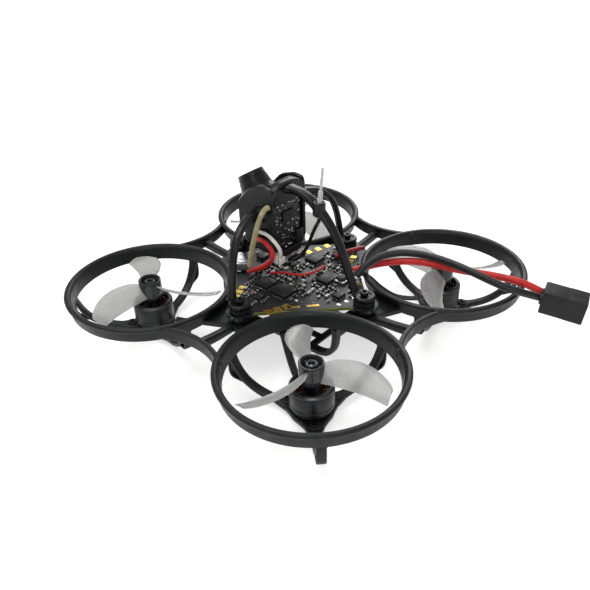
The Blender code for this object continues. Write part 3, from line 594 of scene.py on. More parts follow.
body = block((5.2, 5.2, 5.0), 0.3, 5)
contact = block((0.35, 3.0, 1.7), 0.1, 2)
collar = turned(lathe([(0, 0), (1.15, 0), (1.12, 0.35), (0.98, 0.6), (0, 0.6)], 28), "X", -90)
collars = many(collar, [(-1.2, 4.2, 0.1), (1.2, 4.2, 0.1)])
plug = piece(
    "battery_plug_moulding", "frame",
    (plug_part(moved(body, (0, 1.75, 0))), plug_nylon), (plug_part(socket_tube(1)), plug_nylon),
    (plug_part(socket_tube(-1)), plug_nylon), (plug_part(collars), plug_nylon),
    (plug_part(moved(contact, (1.2, -2.4, 0))), gold_plate),
    (plug_part(moved(contact, (-1.2, -2.4, 0))), gold_plate),
    replaces=("battery_plug",))

# %% [markdown]
# ## Ducts and bridges
# Each duct is one injection moulding: a ring with a rounded, flared lip, three sprung arms that rise from the
# motor plate to the ring, and a foot loop at the outside of each arm. Bridges tie the four rings together.

# %% Duct rings, arms and motor plates


def upright(shape, angle):
    """A shape drawn in (radius, width, height) turned to its angle about the duct's axis."""
    return turned(shape, "Z", angle)


def duct_shell():
    """The ring is a lathed profile; an arm is a flat oval swept along its mid-line in the radial plane."""
    lip = [(16.4, RING_FOOT), (17.45, RING_FOOT), (17.6, RING_TOP - 1.15), (RING_R, RING_TOP - 0.75),
           (RING_R, RING_TOP - 0.25), (RING_R - 0.3, RING_TOP), (17.3, RING_TOP), (16.8, RING_TOP - 0.6)]
    shapes = [lathe(softened(lip, 0.2, 4), 192)]
    spine = curve_through([(2.6, 0, 1.65), (6.8, 0, 1.7), (10.7, 0, 2.5), (13.6, 0, 4.05), (15.3, 0, 6.0),
                           (16.3, 0, 8.0), (16.95, 0, 9.4), (17.05, 0, 10.4)], 6)
    far = np.clip((spine[:, 0] - 3.0) / 14.0, 0, 1)
    root, top_end = np.clip((7.6 - spine[:, 0]) / 3.0, 0, 1), np.clip((spine[:, 2] - 8.0) / 1.8, 0, 1)
    wide = 0.95 + 1.1 * root + 0.9 * top_end**2
    arm = swept(spine, oval(4.0, 20), (0, 1, 0), wide, 0.66 - 0.24 * far)
    loop = curve_through([(14.2, 0, 4.3), (15.4, 0, 4.55), (16.5, 0, 4.8), (17.1, 0, 5.6), (17.25, 0, 6.9),
                          (17.2, 0, 8.4), (17.05, 0, 9.6)], 6)
    foot = swept(loop, oval(4.0, 16), (0, 1, 0), 0.9, 0.26)
    for angle in (0.0, 120.0, -120.0):
        shapes += [upright(arm, angle), upright(foot, angle)]
    a = np.linspace(0, math.tau, 96, endpoint=False)
    r = 4.3 + 1.7 * (0.5 + 0.5 * np.cos(3 * a)) ** 2
    shapes.append(plate(np.stack([r * np.cos(a), r * np.sin(a)], -1), 1.0, 2.3, 0.3))
    return shapes


shell = duct_shell()
eyelet = lathe(softened([(0.55, 2.2), (1.05, 2.2), (1.05, 2.62), (0.55, 2.62)], 0.12, 3), 20)
bolt = lathe([(0, 2.3), (0.62, 2.3), (0.62, 2.7), (0.5, 2.85), (0.3, 2.88), (0.28, 2.6), (0, 2.6)], 20)
for corner, (sx, sy) in CORNERS.items():
    centre, outward = (sx * DUCT, sy * DUCT, 0), math.degrees(math.atan2(sy, sx))
    thirds = np.radians([0, 120, -120])
    places = np.stack([BOLT_CIRCLE * np.cos(thirds), BOLT_CIRCLE * np.sin(thirds), 0 * thirds], -1)
    parts = [(moved(shape, centre, outward), black_nylon) for shape in shell]
    parts += [(moved(many(eyelet, places), centre, outward), black_nylon),
              (moved(many(bolt, places), centre, outward), screw_steel)]
    piece("duct_shell_" + corner, "frame", *parts, replaces=("duct_" + corner,), sharp=40)
print("four duct shells")

# %% Bridges between neighbouring rings


def bridge_shapes():
    """A bumper wall x = 30.05 + 2.6 (y/9)^2, a strut, a web whose edge follows the rings, and the post."""
    y = np.linspace(-9.0, 9.0, 37)
    path = np.stack([30.05 + 2.6 * (y / 9) ** 2, y, np.full(37, (9.4 + RING_TOP - 0.3) / 2)], -1)
    wall = swept(path, oval(6.0, 24), (1, 0, 0), 0.55, (RING_TOP - 0.3 - 9.4) / 2)
    run = curve_through([(19.6, 0, 9.45), (22.0, 0, 9.5), (26.0, 0, 9.75), (30.2, 0, 10.3)], 6)
    strut = swept(run, oval(5.0, 16), (0, 1, 0), 0.8, np.linspace(0.72, 1.0, len(run)))
    x = np.linspace(23.6, 14.7, 24)
    edge = DUCT - np.sqrt(WEB_EDGE**2 - (x - DUCT) ** 2)
    web = np.concatenate([[(POST + 2.6, 0.0)], np.stack([x, edge], -1), [(POST - 2.6, 0.0)],
                          np.stack([x[::-1], -edge[::-1]], -1)])
    post = lathe(softened([(0.75, WEB_FOOT), (2.3, WEB_FOOT), (2.3, 10.2), (0.75, 10.2)], 0.2, 3), 32)
    return [wall, strut, plate(web, WEB_FOOT, 10.1, 0.2), moved(post, (POST, 0, 0))]


bridge = bridge_shapes()
for side, angle in SIDES.items():
    piece("bridge_moulding_" + side, "frame", *[(turned(shape, "Z", angle), black_nylon) for shape in bridge],
          replaces=("bridge_" + side,), sharp=40)
print("four bridges")

# %% [markdown]
# ## Battery tray, grommets and screws
# Two skids run fore and aft under the board and the bars between them hold the battery. Rubber spools carry
# the board's four eyes, and a black screw holds each canopy foot down through its spool.

# %% Tray
half = [(15.9, 8.4), (15.9, 5.6), (15.4, 3.2), (14.2, 1.6), (12.4, 0.8), (10.0, 0.6), (5.0, 0.6), (0.0, 0.6)]
profile = curve_through([(-y, z) for y, z in half] + [(y, z) for y, z in half[-2::-1]], 5)
parts = []
for sign in (1, -1):
    path = np.column_stack([np.full(len(profile), sign * 6.6), profile])
    parts.append(swept(path, oval(5.0, 20), (1, 0, 0), 0.95, 0.6))
    parts.append(moved(block((13.4, 1.0, 1.4), 0.3, 4), (0, sign * 15.9, 6.6)))
    parts.append(moved(block((1.5, 18.0, 0.8), 0.25, 4), (sign * 2.6, 0, 0.7)))
parts += [moved(block((13.2, 1.6, 0.8), 0.25, 4), (0, y, 0.7)) for y in (-9.0, 0.0, 9.0)]
piece("battery_tray_moulding", "frame", *[(shape, black_nylon) for shape in parts],
      replaces=("battery_tray",))

# %% Grommets and screws
spool = [(0.8, 10.5), (2.25, 10.5), (2.25, 11.05), (1.45, 11.05), (1.45, 12.15), (2.25, 12.15), (2.25, 13.1),
         (0.8, 13.1)]
spool = lathe(softened(spool, 0.14, 3), 32)
shank = lathe([(0, 8.0), (0.4, 8.0), (0.45, 8.1), (0.45, 14.45), (0, 14.45)], 20)


def socket_head():
    """A pan head with a hexagon socket, whose rows go from a circle to r cos 30 / cos((a mod 60) - 30)."""
    profile = [(0, 14.6), (0.45, 14.6), (0.48, 14.98), (0.62, 15.02), (0.84, 14.98), (0.95, 14.8),
               (0.95, 14.5), (0, 14.5)]
    points, faces = lathe(profile, 24)
    grid = points.reshape(len(profile), 24, 3)
    a = np.arange(24) * math.tau / 24
    hexagon = math.cos(math.radians(30)) / np.cos((a % math.radians(60)) - math.radians(30))
    grid[1:3, :, :2] *= hexagon[None, :, None]
    return grid.reshape(-1, 3), faces


head = socket_head()
for side, angle in SIDES.items():
    at = (POST * math.cos(math.radians(angle)), POST * math.sin(math.radians(angle)), 0)
    piece("grommet_spool_" + side, "frame", (moved(spool, at), grommet_rubber), replaces=("grommet_" + side,))
    piece("screw_socket_head_" + side, "frame", (moved(shank, at), screw_steel),
          (moved(head, at, 20), screw_steel), replaces=("screw_" + side,))
print("tray, four grommets, four screws")

# %% [markdown]
# ## Main board
# The flight controller is a square board stood on its corner, its edges hollowed to follow the rings. Small
# parts are copies of one rounded box scattered by a seeded generator, so each run makes the same board.

# %% Laminate, mask and the four eyes


def board_outline(inset):
    """Polar radius: the square's edge, grown round the four eyes, then cut back by the four ring circles."""
    a = np.linspace(0, math.tau, 720, endpoint=False)
    near = (a + math.pi / 4) % (math.pi / 2) - math.pi / 4
    square = (POST + 1.4 - inset * math.sqrt(2)) / (np.abs(np.cos(a)) + np.abs(np.sin(a)))
    reach = (2.9 - inset) ** 2 - (POST * np.sin(near)) ** 2
    eye = np.where(reach > 0, POST * np.cos(near) + np.sqrt(np.maximum(reach, 0)), 0)
    r = np.maximum(square, eye)
    off = a % (math.pi / 2) - math.pi / 4
    far = DUCT * math.sqrt(2)
    cut = (BOARD_CUT + inset) ** 2 - (far * np.sin(off)) ** 2
    r = np.where(cut > 0, np.minimum(r, far * np.cos(off) - np.sqrt(np.maximum(cut, 0))), r)
    return np.stack([r * np.cos(a), r * np.sin(a)], -1)


eyes = [(POST * math.cos(math.radians(a)), POST * math.sin(math.radians(a)), 0) for a in SIDES.values()]
ring = lathe([(1.75, BOARD_HIGH - 0.1), (2.62, BOARD_HIGH - 0.1), (2.62, BOARD_HIGH + 0.03),
              (1.75, BOARD_HIGH + 0.03)], 40)
band = lathe([(2.3, BOARD_LOW + 0.02), (2.94, BOARD_LOW + 0.02), (2.94, BOARD_HIGH - 0.02),
              (2.3, BOARD_HIGH - 0.02)], 48)
board_parts = [(plate(board_outline(0.0), BOARD_LOW + 0.05, BOARD_HIGH - 0.05, 0.03), board_edge),
               (plate(board_outline(0.12), BOARD_HIGH - 0.1, BOARD_HIGH, 0.03), board_mask),
               (plate(board_outline(0.12), BOARD_LOW, BOARD_LOW + 0.1, 0.03), board_mask),
               (many(ring, eyes), board_mask), (many(band, eyes), board_mask)]

# %% Chips, small parts and pads
seeded = np.random.default_rng(7)
top = BOARD_HIGH
chips = [((-7.3, -2.4), (4.2, 4.2, 0.85)), ((-7.3, 2.8), (3.6, 3.6, 0.85)), ((2.6, -6.4), (4.4, 3.2, 0.9)),
         ((7.6, 1.4), (3.4, 3.4, 0.8)), ((-1.2, -12.4), (2.4, 1.8, 0.7)), ((12.4, -1.6), (2.4, 2.0, 0.7)),
         ((1.2, 11.6), (2.6, 2.0, 0.7)), ((-12.2, 0.2), (1.9, 1.5, 0.6))]
for (x, y), size in chips:
    board_parts.append((moved(block(size, 0.09, 3), (x, y, top + size[2] / 2 + 0.04)), chip_epoxy))
    step = np.arange(-size[0] / 2 + 0.35, size[0] / 2 - 0.3, 0.45)
    pins = [(x + s, y + way * size[1] / 2, top + 0.08) for s in step for way in (-1, 1)]
    pins += [(x + way * size[0] / 2, y + s,
              top + 0.08) for s in step[abs(step) < size[1] / 2 - 0.2] for way in (-1, 1)]
    board_parts.append((many(block((0.24, 0.24, 0.14), 0.04, 2), pins), tin_solder))

# A small part takes a place of a 1.45 by 1.3 mm lattice that no chip, eye or edge already holds
lattice = np.stack(np.meshgrid(np.arange(-17, 17.1, 1.45), np.arange(-17, 17.1, 1.3)), -1).reshape(-1, 2)
lattice = lattice + seeded.uniform(-0.2, 0.2, lattice.shape)
room_left = np.linalg.norm(np.abs(lattice) - DUCT, axis=1) > 20.2
room_left &= np.abs(lattice).sum(axis=1) < 16.6
for (x, y), size in chips + [((-4.6, 12.4), (6.4, 6.4, 0)), ((4.2, -9.0), (3.4, 3.4, 0)),
                             ((7.5, -9.4), (2.8, 2.8, 0)),
                             ((6.0, -11.5), (2.8, 2.8, 0)), ((4.5, 6.2), (4.6, 3.2, 0)),
                             ((-12.9, -5.4), (5.0, 3.0, 0)),
                             ((-8.3, -9.7), (5.0, 4.0, 0)), ((12.2, 4.2), (5.6, 2.6, 0))]:
    room_left &= (np.abs(lattice - (x, y)) > np.array(size[:2]) / 2 + 0.62).any(axis=1)
spots = lattice[room_left & (seeded.uniform(size=len(lattice)) < 0.74)]
kind = seeded.integers(0, 5, len(spots))
turn = seeded.choice([0.0, 90.0], len(spots))
grown = seeded.uniform(0.7, 1.35, (len(spots), 1)) * np.array([1.0, 1.0, 0.9])
bodies = {0: part_tan, 1: part_dark, 2: chip_epoxy, 3: part_pale, 4: chip_epoxy}
for sort, finish_of in bodies.items():
    at = np.column_stack([spots[kind == sort], np.full((kind == sort).sum(), top + 0.24)])
    size = grown[kind == sort]
    board_parts.append((many(block((0.62, 0.5, 0.4), 0.06, 2), at, turn[kind == sort], size), finish_of))
    for way in (-0.38, 0.38):
        end = many(moved(block((0.22, 0.54, 0.44), 0.08, 2), (way, 0, 0)), at, turn[kind == sort], size)
        board_parts.append((end, tin_solder))


def pad_row(start, end, count, size, angle, thick=0.06):
    """Flat plated pads evenly spaced from start to end on the board's top."""
    t = np.linspace(0, 1, count)[:, None]
    places = np.array(start)[None] * (1 - t) + np.array(end)[None] * t
    return many(block((*size, thick), 0.03, 2), np.column_stack([places, np.full(count, top + thick / 2)]),
                angle)


board_parts += [(pad_row((-14.7, -4.7), (-10.9, -6.3), 3, (1.6, 1.9), -22), gold_plate),
                (pad_row((9.8, 5.0), (14.8, 3.5), 3, (1.3, 1.6), -17), gold_plate),
                (pad_row((-14.6, 4.8), (-11.2, 6.1), 3, (1.3, 1.6), 20), gold_plate),
                (pad_row((10.4, -5.6), (14.4, -4.6), 3, (1.2, 1.5), 20), gold_plate),
                (pad_row((-10.1, -7.6), (-7.2, -10.3), 2, (2.6, 0.7), -43), gold_plate),
                (pad_row((-3.6, -14.2), (0.4, -15.2), 3, (0.7, 0.9), 0), tin_solder)]
for x, y in ((7.5, -9.4), (6.0, -11.5)):
    dome = [(0, 0.0), (1.25, 0.0), (1.2, 0.25), (0.95, 0.7), (0.85, 1.25), (0.6, 1.5), (0, 1.6)]
    board_parts.append((moved(lathe(softened(dome[1:], 0.15, 3, loop=False), 28), (x, y, top)), tin_solder))
    board_parts.append((moved(block((2.7, 2.4, 0.08), 0.04, 2), (x, y, top + 0.04), 30), gold_plate))
lying = curve_through([(-3.6, 5.0, 12.5), (-2.4, 1.8, 13.2), (-1.1, -1.6, 13.3), (2.2, -3.0, 13.1),
                       (6.4, -2.6, 12.5)])
board_parts.append((swept(lying, oval(2, 12), (0, 0, 1), 0.28, 0.28), red_silicone))
sleeve = curve_through([(10.6, -2.2, 13.0), (13.0, -3.4, 13.5), (15.6, -4.6, 13.6), (17.6, -5.2, 13.3)])
board_parts.append((swept(sleeve, oval(2.6, 16), (0, 0, 1), 0.5, 0.5), sleeve_dark_red))
board = piece("flight_controller_board", "frame", *board_parts, replaces=("flight_controller",), sharp=30)
print(f"board with {len(chips)} chips and {len(spots)} small parts, {len(board.data.polygons)} faces")

# %% Socket, button and wire connector


def tube_box(size, wall, power=7.0):
    """A rounded rectangular tube along +Y, closed at its low end; its outline rows turn in at the mouth."""
    outer = oval(power, 48) * (size[0] / 2, size[2] / 2)
    inner = outer * (1 - 2 * wall / size[0], 1 - 2 * wall / size[2])
    back, mouth = -size[1] / 2, size[1] / 2
    rows = [(outer * 0, back), (outer * 0.97, back), (outer, back + 0.1), (outer, mouth), (inner, mouth),
            (inner, back + 0.5), (inner * 0, back + 0.5)]
    return stood(stacked(rows), (0, 2, 1))


usb_at = (-4.6, 12.4, top + 1.4)
tabs = many(block((0.5, 0.9, 0.3), 0.08, 2), [(x, y, -1.02) for x in (-2.7, 2.7) for y in (-1.1, 0.9)])
dimple = many(block((0.5, 0.9, 0.14), 0.06, 2), [(-1.2, 0.2, 1.08), (1.2, 0.2, 1.08)])
piece("usb_socket_shell", "frame", (moved(tube_box((5.6, 3.6, 2.2), 0.28), usb_at, 45), shell_steel),
      (moved(moved(block((3.4, 2.6, 0.5), 0.08, 3), (0, 0, 0.1)), usb_at, 45), chip_epoxy),
      (moved(tabs, usb_at, 45), tin_solder), (moved(dimple, usb_at, 45), shell_steel),
      replaces=("usb_socket",))

cap = [(0, 12.55), (0.9, 12.55), (0.95, 12.6), (0.95, 13.1), (0.8, 13.25), (0.5, 13.3), (0, 13.3)]
piece("bind_button_cap", "bind_button", (moved(lathe(cap, 28), (4.2, -9.0, 0)), part_dark),
      replaces=("bind_button",))
square, hole = oval(7, 48) * 1.5, oval(2, 48) * 1.12
rows = [(hole, 12.02), (square, 12.02), (square, 12.6), (square * 0.96, 12.68), (hole * 1.05, 12.68),
        (hole, 12.62)]
piece("bind_button_frame", "frame", (moved(stacked(rows, wrap_rows=True), (4.2, -9.0, 0)), shell_steel),
      slot="bright_steel")

crimp = [(moved(block((3.6, 2.0, 1.7), 0.15, 3), (4.4, 6.4, top + 0.9)), connector_white),
         (moved(block((3.0, 0.5, 0.9), 0.1, 2), (4.4, 5.3, top + 0.9)), chip_epoxy),
         (many(block((0.28, 0.7, 0.16), 0.05, 2), [(4.4 + k, 7.6, top + 0.1) for k in (-1, 0, 1)]),
          tin_solder),
         (many(block((0.3, 0.3, 0.5), 0.05, 2), [(4.4 + k, 5.2, top + 1.6) for k in (-1, 0, 1)]),
          shell_steel)]
piece("wire_connector", "frame", *crimp, slot="white_silicone")
print("socket, button, connector")

# %% [markdown]
# ## Canopy
# One black ABS moulding: two cheeks that hold the camera, a roof band between them, a bar under the camera and
# four slim arms that land on the screws. The arms swell where they meet the cheeks and the feet.

# %% Cheeks and roof


def holed(outline, centre, radius, low, high, edge):
    """A plate with a round hole: each outline point joins the hole point at the same angle from its centre."""
    outline = np.array(outline, float)
    spoke = unit(outline - centre)
    hole = np.array(centre) + spoke * radius
    inner = outline - spoke * edge
    rows = [(hole, low), (inner, low), (outline, low + edge), (outline, high - edge), (inner, high),
            (hole, high)]
    return stacked(rows, wrap_rows=True)


PIVOT = (0.0, 8.3, 25.7)
cheek = [(1.8, 19.0), (6.0, 18.4), (9.6, 20.4), (12.0, 23.4), (12.0, 28.8), (8.4, 32.6), (4.4, 33.8),
         (2.4, 33.6), (1.8, 32.6)]
cheek = softened(cheek, 1.3, 6)
canopy_parts = []
for low, high in ((4.4, 5.3), (-5.3, -4.4)):
    canopy_parts.append(stood(holed(cheek, PIVOT[1:], 0.75, low, high, 0.25), (2, 0, 1)))
a = np.linspace(0, math.pi, 40)
arch = np.stack([5.3 * np.sign(np.cos(a)) * np.abs(np.cos(a)) ** (2 / 3.0),
                 29.8 + 4.2 * np.sin(a) ** (2 / 2.4)], -1)
arch = np.concatenate([arch, [(-4.6, 29.5), (4.6, 29.5)]])
canopy_parts.append(stood(plate(arch, 1.8, 4.3, 0.35), (0, 2, 1)))
canopy_parts.append(moved(block((10.4, 1.6, 1.6), 0.4, 5), (0, 9.8, 20.3)))

# %% Arms, feet and the antenna's collar


def arm(route, wide, high, across, power=3.0):
    """A bar along the smooth curve through the route; `wide` and `high` are read along it from start to end."""
    path = curve_through(route, 8)
    t = np.linspace(0, 1, len(path))
    share = np.linspace(0, 1, len(wide))
    return swept(path, oval(power, 24), across, np.interp(t, share, wide) / 2, np.interp(t, share, high) / 2)


canopy_parts.append(arm([(0, 9.2, 20.3), (0, 12.4, 19.5), (0, 14.9, 17.2), (0, 15.9, 14.7), (0, 16.2, 13.8)],
                        (3.6, 2.8, 2.5, 2.5, 3.0), (1.7, 1.3, 1.25, 1.2, 0.9), (1, 0, 0)))
for sign in (1, -1):
    reach = [(4.7, 5.4, 27.5), (6.2, 5.3, 27.8), (8.8, 5.1, 27.9), (12.6, 4.1, 26.9), (15.4, 3.1, 24.4),
             (16.9, 2.6, 21.0), (17.75, 2.3, 17.0), (18.0, 2.15, 14.8), (18.0, 1.95, 13.8)]
    canopy_parts.append(arm([(sign * x, y, z) for x, y, z in reach], (4.6, 2.3, 1.8, 1.65, 1.6, 1.7, 2.4),
                            (4.0, 1.8, 1.4, 1.3, 1.2, 1.2, 1.0), (0.2 * sign, 1, 0)))
rear = [(0, 3.2, 32.3), (0, 0.6, 32.5), (0, -2.2, 32.2), (0, -5.6, 30.4), (0, -9.2, 27.0), (0, -12.1, 22.4),
        (0, -14.1, 17.6), (0, -15.5, 14.6), (0, -16.1, 13.8)]
canopy_parts.append(arm(rear, (4.0, 2.4, 2.1, 2.3, 2.0, 1.9, 1.9, 2.1, 2.8),
                        (2.4, 1.6, 1.5, 1.6, 1.4, 1.35, 1.3, 1.2, 0.9), (1, 0, 0)))
collar = [(0.85, 28.6), (1.2, 28.6), (1.35, 28.9), (1.35, 31.3), (1.2, 31.6), (0.85, 31.6)]
canopy_parts.append(moved(lathe(softened(collar, 0.1, 3), 36), (0, -6.2, 0)))
foot = softened([(0.75, 13.4), (2.15, 13.4), (2.3, 13.6), (2.3, 14.0), (2.05, 14.22), (1.5, 14.22),
                 (1.35, 14.08), (0.75, 14.08)], 0.1, 3)
canopy_parts.append(many(lathe(foot, 40), eyes))
canopy = piece("canopy_moulding", "frame", *[(shape, black_abs) for shape in canopy_parts],
               replaces=("canopy",), sharp=45)
print(f"canopy: {len(canopy.data.polygons)} faces")

# %% [markdown]
# ## Camera
# The camera tilts between the cheeks on two screws. Its lens looks up at 58 degrees, so each of its pieces is
# drawn standing up and then leaned onto that line.

# %% Housing, lens and screws


def leaned(shape):
    """Lean a shape drawn along +Z onto the lens line and carry it to the tilt axis."""
    return moved(turned(shape, "X", 58.0 - 90.0), PIVOT)


corner_bolts = [(x, y, 3.3) for x in (-3.2, 3.2) for y in (-2.6, 2.6)]
piece("camera_housing_moulding", "camera", (leaned(block((8.1, 6.6, 6.6), 0.55, 5)), camera_abs),
      (leaned(moved(block((8.16, 6.66, 0.18), 0.05, 2), (0, 0, -1.7))), black_nylon),
      (leaned(moved(block((6.6, 5.4, 0.3), 0.1, 2), (0, 0, -3.3))), board_mask),
      (leaned(many(lathe([(0, 0), (0.55, 0), (0.5, 0.2), (0, 0.24)], 16), corner_bolts)), screw_steel),
      replaces=("camera_housing",))
barrel = [(0, 3.35), (4.15, 3.35), (4.3, 3.5), (4.3, 4.5), (4.15, 4.65), (3.65, 5.4), (3.55, 5.6),
          (3.2, 7.35)]
for z in (7.4, 7.9):
    r = 3.19 - 0.2 * (z - 7.4)
    barrel += [(r, z), (r - 0.12, z + 0.06), (r - 0.12, z + 0.2), (r - 0.04, z + 0.26)]
barrel += [(2.98, 8.3), (2.9, 8.8), (2.75, 8.9), (2.3, 8.9), (2.2, 8.8), (2.15, 7.7), (0, 7.2)]
piece("lens_barrel_turned", "camera", (leaned(lathe(barrel, 64)), camera_abs), replaces=("lens_barrel",),
      sharp=30)
s = np.linspace(0, 1, 14)
dome = np.stack([1.95 * s, 7.6 + 0.85 * np.sqrt(1 - 0.92 * s**2)], -1)
glass = np.concatenate([dome, [(1.95, 7.5), (0, 7.5)]])
piece("lens_glass_dome", "camera", (leaned(lathe(glass, 48)), lens_coating), replaces=("lens_glass",),
      sharp=50)
for side, sign in (("left", -1), ("right", 1)):
    profile = [(0, 2.9), (0.55, 2.9), (0.6, 3.0), (0.6, 5.6), (1.15, 5.6), (1.2, 5.7), (1.15, 6.15),
               (0.9, 6.38), (0.45, 6.4), (0.4, 5.95), (0, 5.95)]
    screw = turned(lathe(profile, 32), "Y", sign * 90)
    piece("camera_screw_pan_" + side, "camera", (moved(screw, PIVOT), screw_steel),
          replaces=("camera_screw_" + side,))

# %% Transmitter board behind the camera
parts = [(moved(block((8.2, 0.62, 11.0), 0.08, 3), (0, 2.8, 24.0)), board_edge),
         (moved(block((8.1, 0.8, 10.9), 0.08, 3), (0, 2.8, 24.0)), board_mask)]
cells = np.stack(np.meshgrid(np.arange(-3.4, 3.5, 0.85), np.arange(19.2, 29.1, 0.7)), -1).reshape(-1, 2)
cells = cells + seeded.uniform(-0.25, 0.25, cells.shape)
free = ~((cells[:, 0] > 1.7) & (cells[:, 1] < 22.0)) & (seeded.uniform(size=len(cells)) < 0.5)
free &= ~((np.abs(cells[:, 0] + 0.4) < 1.9) & (np.abs(cells[:, 1] - 26.4) < 1.4))
cells = cells[free]
kind = seeded.integers(0, 4, len(cells))
for sort, finish_of in {0: tin_solder, 1: part_pale, 2: part_dark, 3: tin_solder}.items():
    at = np.column_stack([cells[kind == sort, 0], np.full((kind == sort).sum(), 2.3), cells[kind == sort, 1]])
    parts.append((many(block((0.42, 0.24, 0.3), 0.05, 2), at), finish_of))
parts += [(moved(block((3.2, 0.7, 2.2), 0.1, 2), (-0.4, 2.15, 26.4)), chip_epoxy),
          (moved(block((2.3, 1.0, 3.4), 0.15, 3), (2.9, 2.0, 20.3)), chip_epoxy),
          (moved(block((6.4, 1.5, 1.7), 0.2, 3), (1.0, 3.0, 17.4)), chip_epoxy),
          (many(block((0.3, 0.3, 1.2), 0.05, 2), [(x, 3.0, 16.2) for x in np.arange(-1.6, 3.7, 0.65)]),
           tin_solder)]
piece("camera_board_assembly", "frame", *parts, replaces=("camera_board",))
print("camera, its lens and its board")

# %% [markdown]
# ## Antennas and small wires
# The receiver's antenna stands in the canopy's collar and leans back a little. The transmitter's antenna hangs
# beside the left cheek in a tan sleeve. Thin wires loop from the main board up to the camera board.

# %% Antennas
sleeve = [(0, -1.9), (0.46, -1.9), (0.5, -1.8), (0.5, 3.9), (0.46, 4.05), (0.3, 4.2), (0, 4.25)]
whip = [(0, 4.0), (0.28, 4.0), (0.28, 9.05), (0.2, 9.18), (0, 9.2)]
piece("receiver_antenna_whip", "frame",
      (moved(turned(lathe(sleeve, 24), "X", 6), (0, -6.2, 30.0)), grey_sleeve),
      (moved(turned(lathe(whip, 20), "X", 6), (0, -6.2, 30.0)), grey_sleeve), replaces=("receiver_antenna",))
hang = curve_through([(-5.9, 2.0, 30.2), (-6.7, 2.5, 29.9), (-7.6, 3.3, 27.9), (-8.4, 4.2, 24.0),
                      (-8.9, 5.0, 20.0), (-9.2, 5.6, 16.2)], 10)
size = 0.55 * np.ones(len(hang))
size[[0, -1]] *= 0.6
piece("transmitter_antenna_sleeve", "frame", (swept(hang, oval(2, 20), (0, 1, 0), size, size), tan_sleeve),
      replaces=("transmitter_antenna",))

# %% Camera wires and coax
red = [(-5.2, 8.4, 12.9), (-4.4, 6.9, 13.3), (-3.0, 5.7, 14.4), (-2.4, 5.4, 16.0), (-2.6, 6.2, 17.5),
       (-3.0, 6.8, 18.8), (-3.2, 6.0, 20.0), (-3.3, 3.9, 20.4)]
white = [(1.9, 6.2, 13.9), (0.8, 5.6, 15.2), (-0.4, 5.0, 17.2), (-1.1, 5.2, 18.8), (-1.5, 5.0, 19.9),
         (-1.6, 3.8, 20.3)]
red_loop = [(-5.0, 6.6, 20.6), (-5.9, 5.7, 21.7), (-6.3, 4.1, 22.0), (-6.4, 2.5, 21.4), (-6.35, 1.4, 20.2),
            (-6.3, 1.6, 18.5), (-6.3, 3.1, 16.8), (-6.5, 5.2, 15.2), (-7.0, 7.3, 13.8), (-6.6, 8.6, 12.9)]
white_loop = [(-4.6, 6.6, 22.8), (-5.8, 5.6, 23.5), (-6.1, 4.1, 23.8), (-6.1, 2.4, 23.5), (-5.9, 0.9, 22.4),
              (-5.6, 0.0, 21.0), (-5.3, 0.0, 19.6), (-4.9, 0.6, 18.4)]
coax = [(2.6, 3.6, 13.4), (3.0, 1.4, 15.4), (2.9, -0.6, 18.6), (2.5, -2.4, 22.4), (1.6, -4.3, 25.4),
        (0.3, -5.9, 27.2), (0.05, -6.0, 28.2)]
for name, route, thick, finish_of in (("camera_wire_red", red, 0.9, red_silicone),
                                      ("camera_wire_white", white, 0.8, white_silicone),
                                      ("antenna_coax", coax, 0.8, black_silicone)):
    joint = lathe([(0, 0), (0.6, 0), (0.5, 0.45), (0.2, 0.7), (0, 0.75)], 20)
    x, y, z = route[0]
    wire(name + "_jacket", route, thick, finish_of, (1, 0.2, 0.1),
         [(moved(joint, (x, y, z - 0.85)), tin_solder)])
for name, route, thick, finish_of in (("power_wire_red_loop", red_loop, 0.95, red_silicone),
                                      ("signal_wire_white_loop", white_loop, 0.8, white_silicone)):
    path = curve_through(route, 10)
    size = np.full(len(path), thick / 2)
    size[[0, -1]] *= 0.75
    piece(name, "frame", (swept(path, oval(2.0, 16), (1, 0.1, 0.1), size, size), finish_of),
          slot="red_silicone")
clip = [(moved(block((1.7, 2.2, 1.5), 0.2, 3), (-4.7, 1.0, 17.9)), connector_white),
        (moved(block((1.75, 0.4, 1.55), 0.1, 2), (-4.7, 0.4, 17.9)), shell_steel)]
piece("signal_wire_connector", "frame", *clip, slot="white_silicone")
print("antennas, four camera wires, coax")

# %% [markdown]
# ## Motors
# Each outrunner motor has a fixed base and a wound stator inside a bell that turns with the shaft. The bell
# is open on top between three spokes, so the copper shows. A coil is swept outwards with a rib for each turn.

# %% Base and stator


def coil():
    """A tooth's winding along +X: an oval whose size ripples as 1 + 0.06 cos, once for each of nine turns."""
    x = np.linspace(1.95, 3.05, 46)
    ripple = 1 + 0.06 * np.cos(math.tau * 9 * (x - 1.95) / 1.1)
    ripple[[0, -1]] *= 0.8
    path = np.column_stack([x, np.zeros(46), np.full(46, 5.25)])
    return swept(path, oval(2.6, 14), (0, 1, 0), (0.42 + 0.16 * (x - 1.95)) * ripple, 1.3 * ripple)


ninths = np.arange(9) * 40.0
outline = oval(2, 72)
turn_of = np.linspace(0, math.tau, 72, endpoint=False) + math.pi / 72
tooth = np.where(np.cos(9 * turn_of) > 0.35, 3.32, 2.0)[:, None]
core = plate(outline * tooth, 4.35, 6.15, 0.06)
base_profile = softened([(0.58, 2.6), (3.6, 2.6), (3.9, 2.75), (3.9, 3.0), (3.6, 3.12), (1.5, 3.3),
                         (1.3, 3.6), (1.3, 7.0), (0.58, 7.0)], 0.08, 3)
base = lathe(base_profile, 64)
coils = many(coil(), np.zeros((9, 3)), ninths)
sleeve_ring = lathe([(1.35, 4.0), (2.05, 4.0), (2.05, 6.5), (1.35, 6.5)], 40)

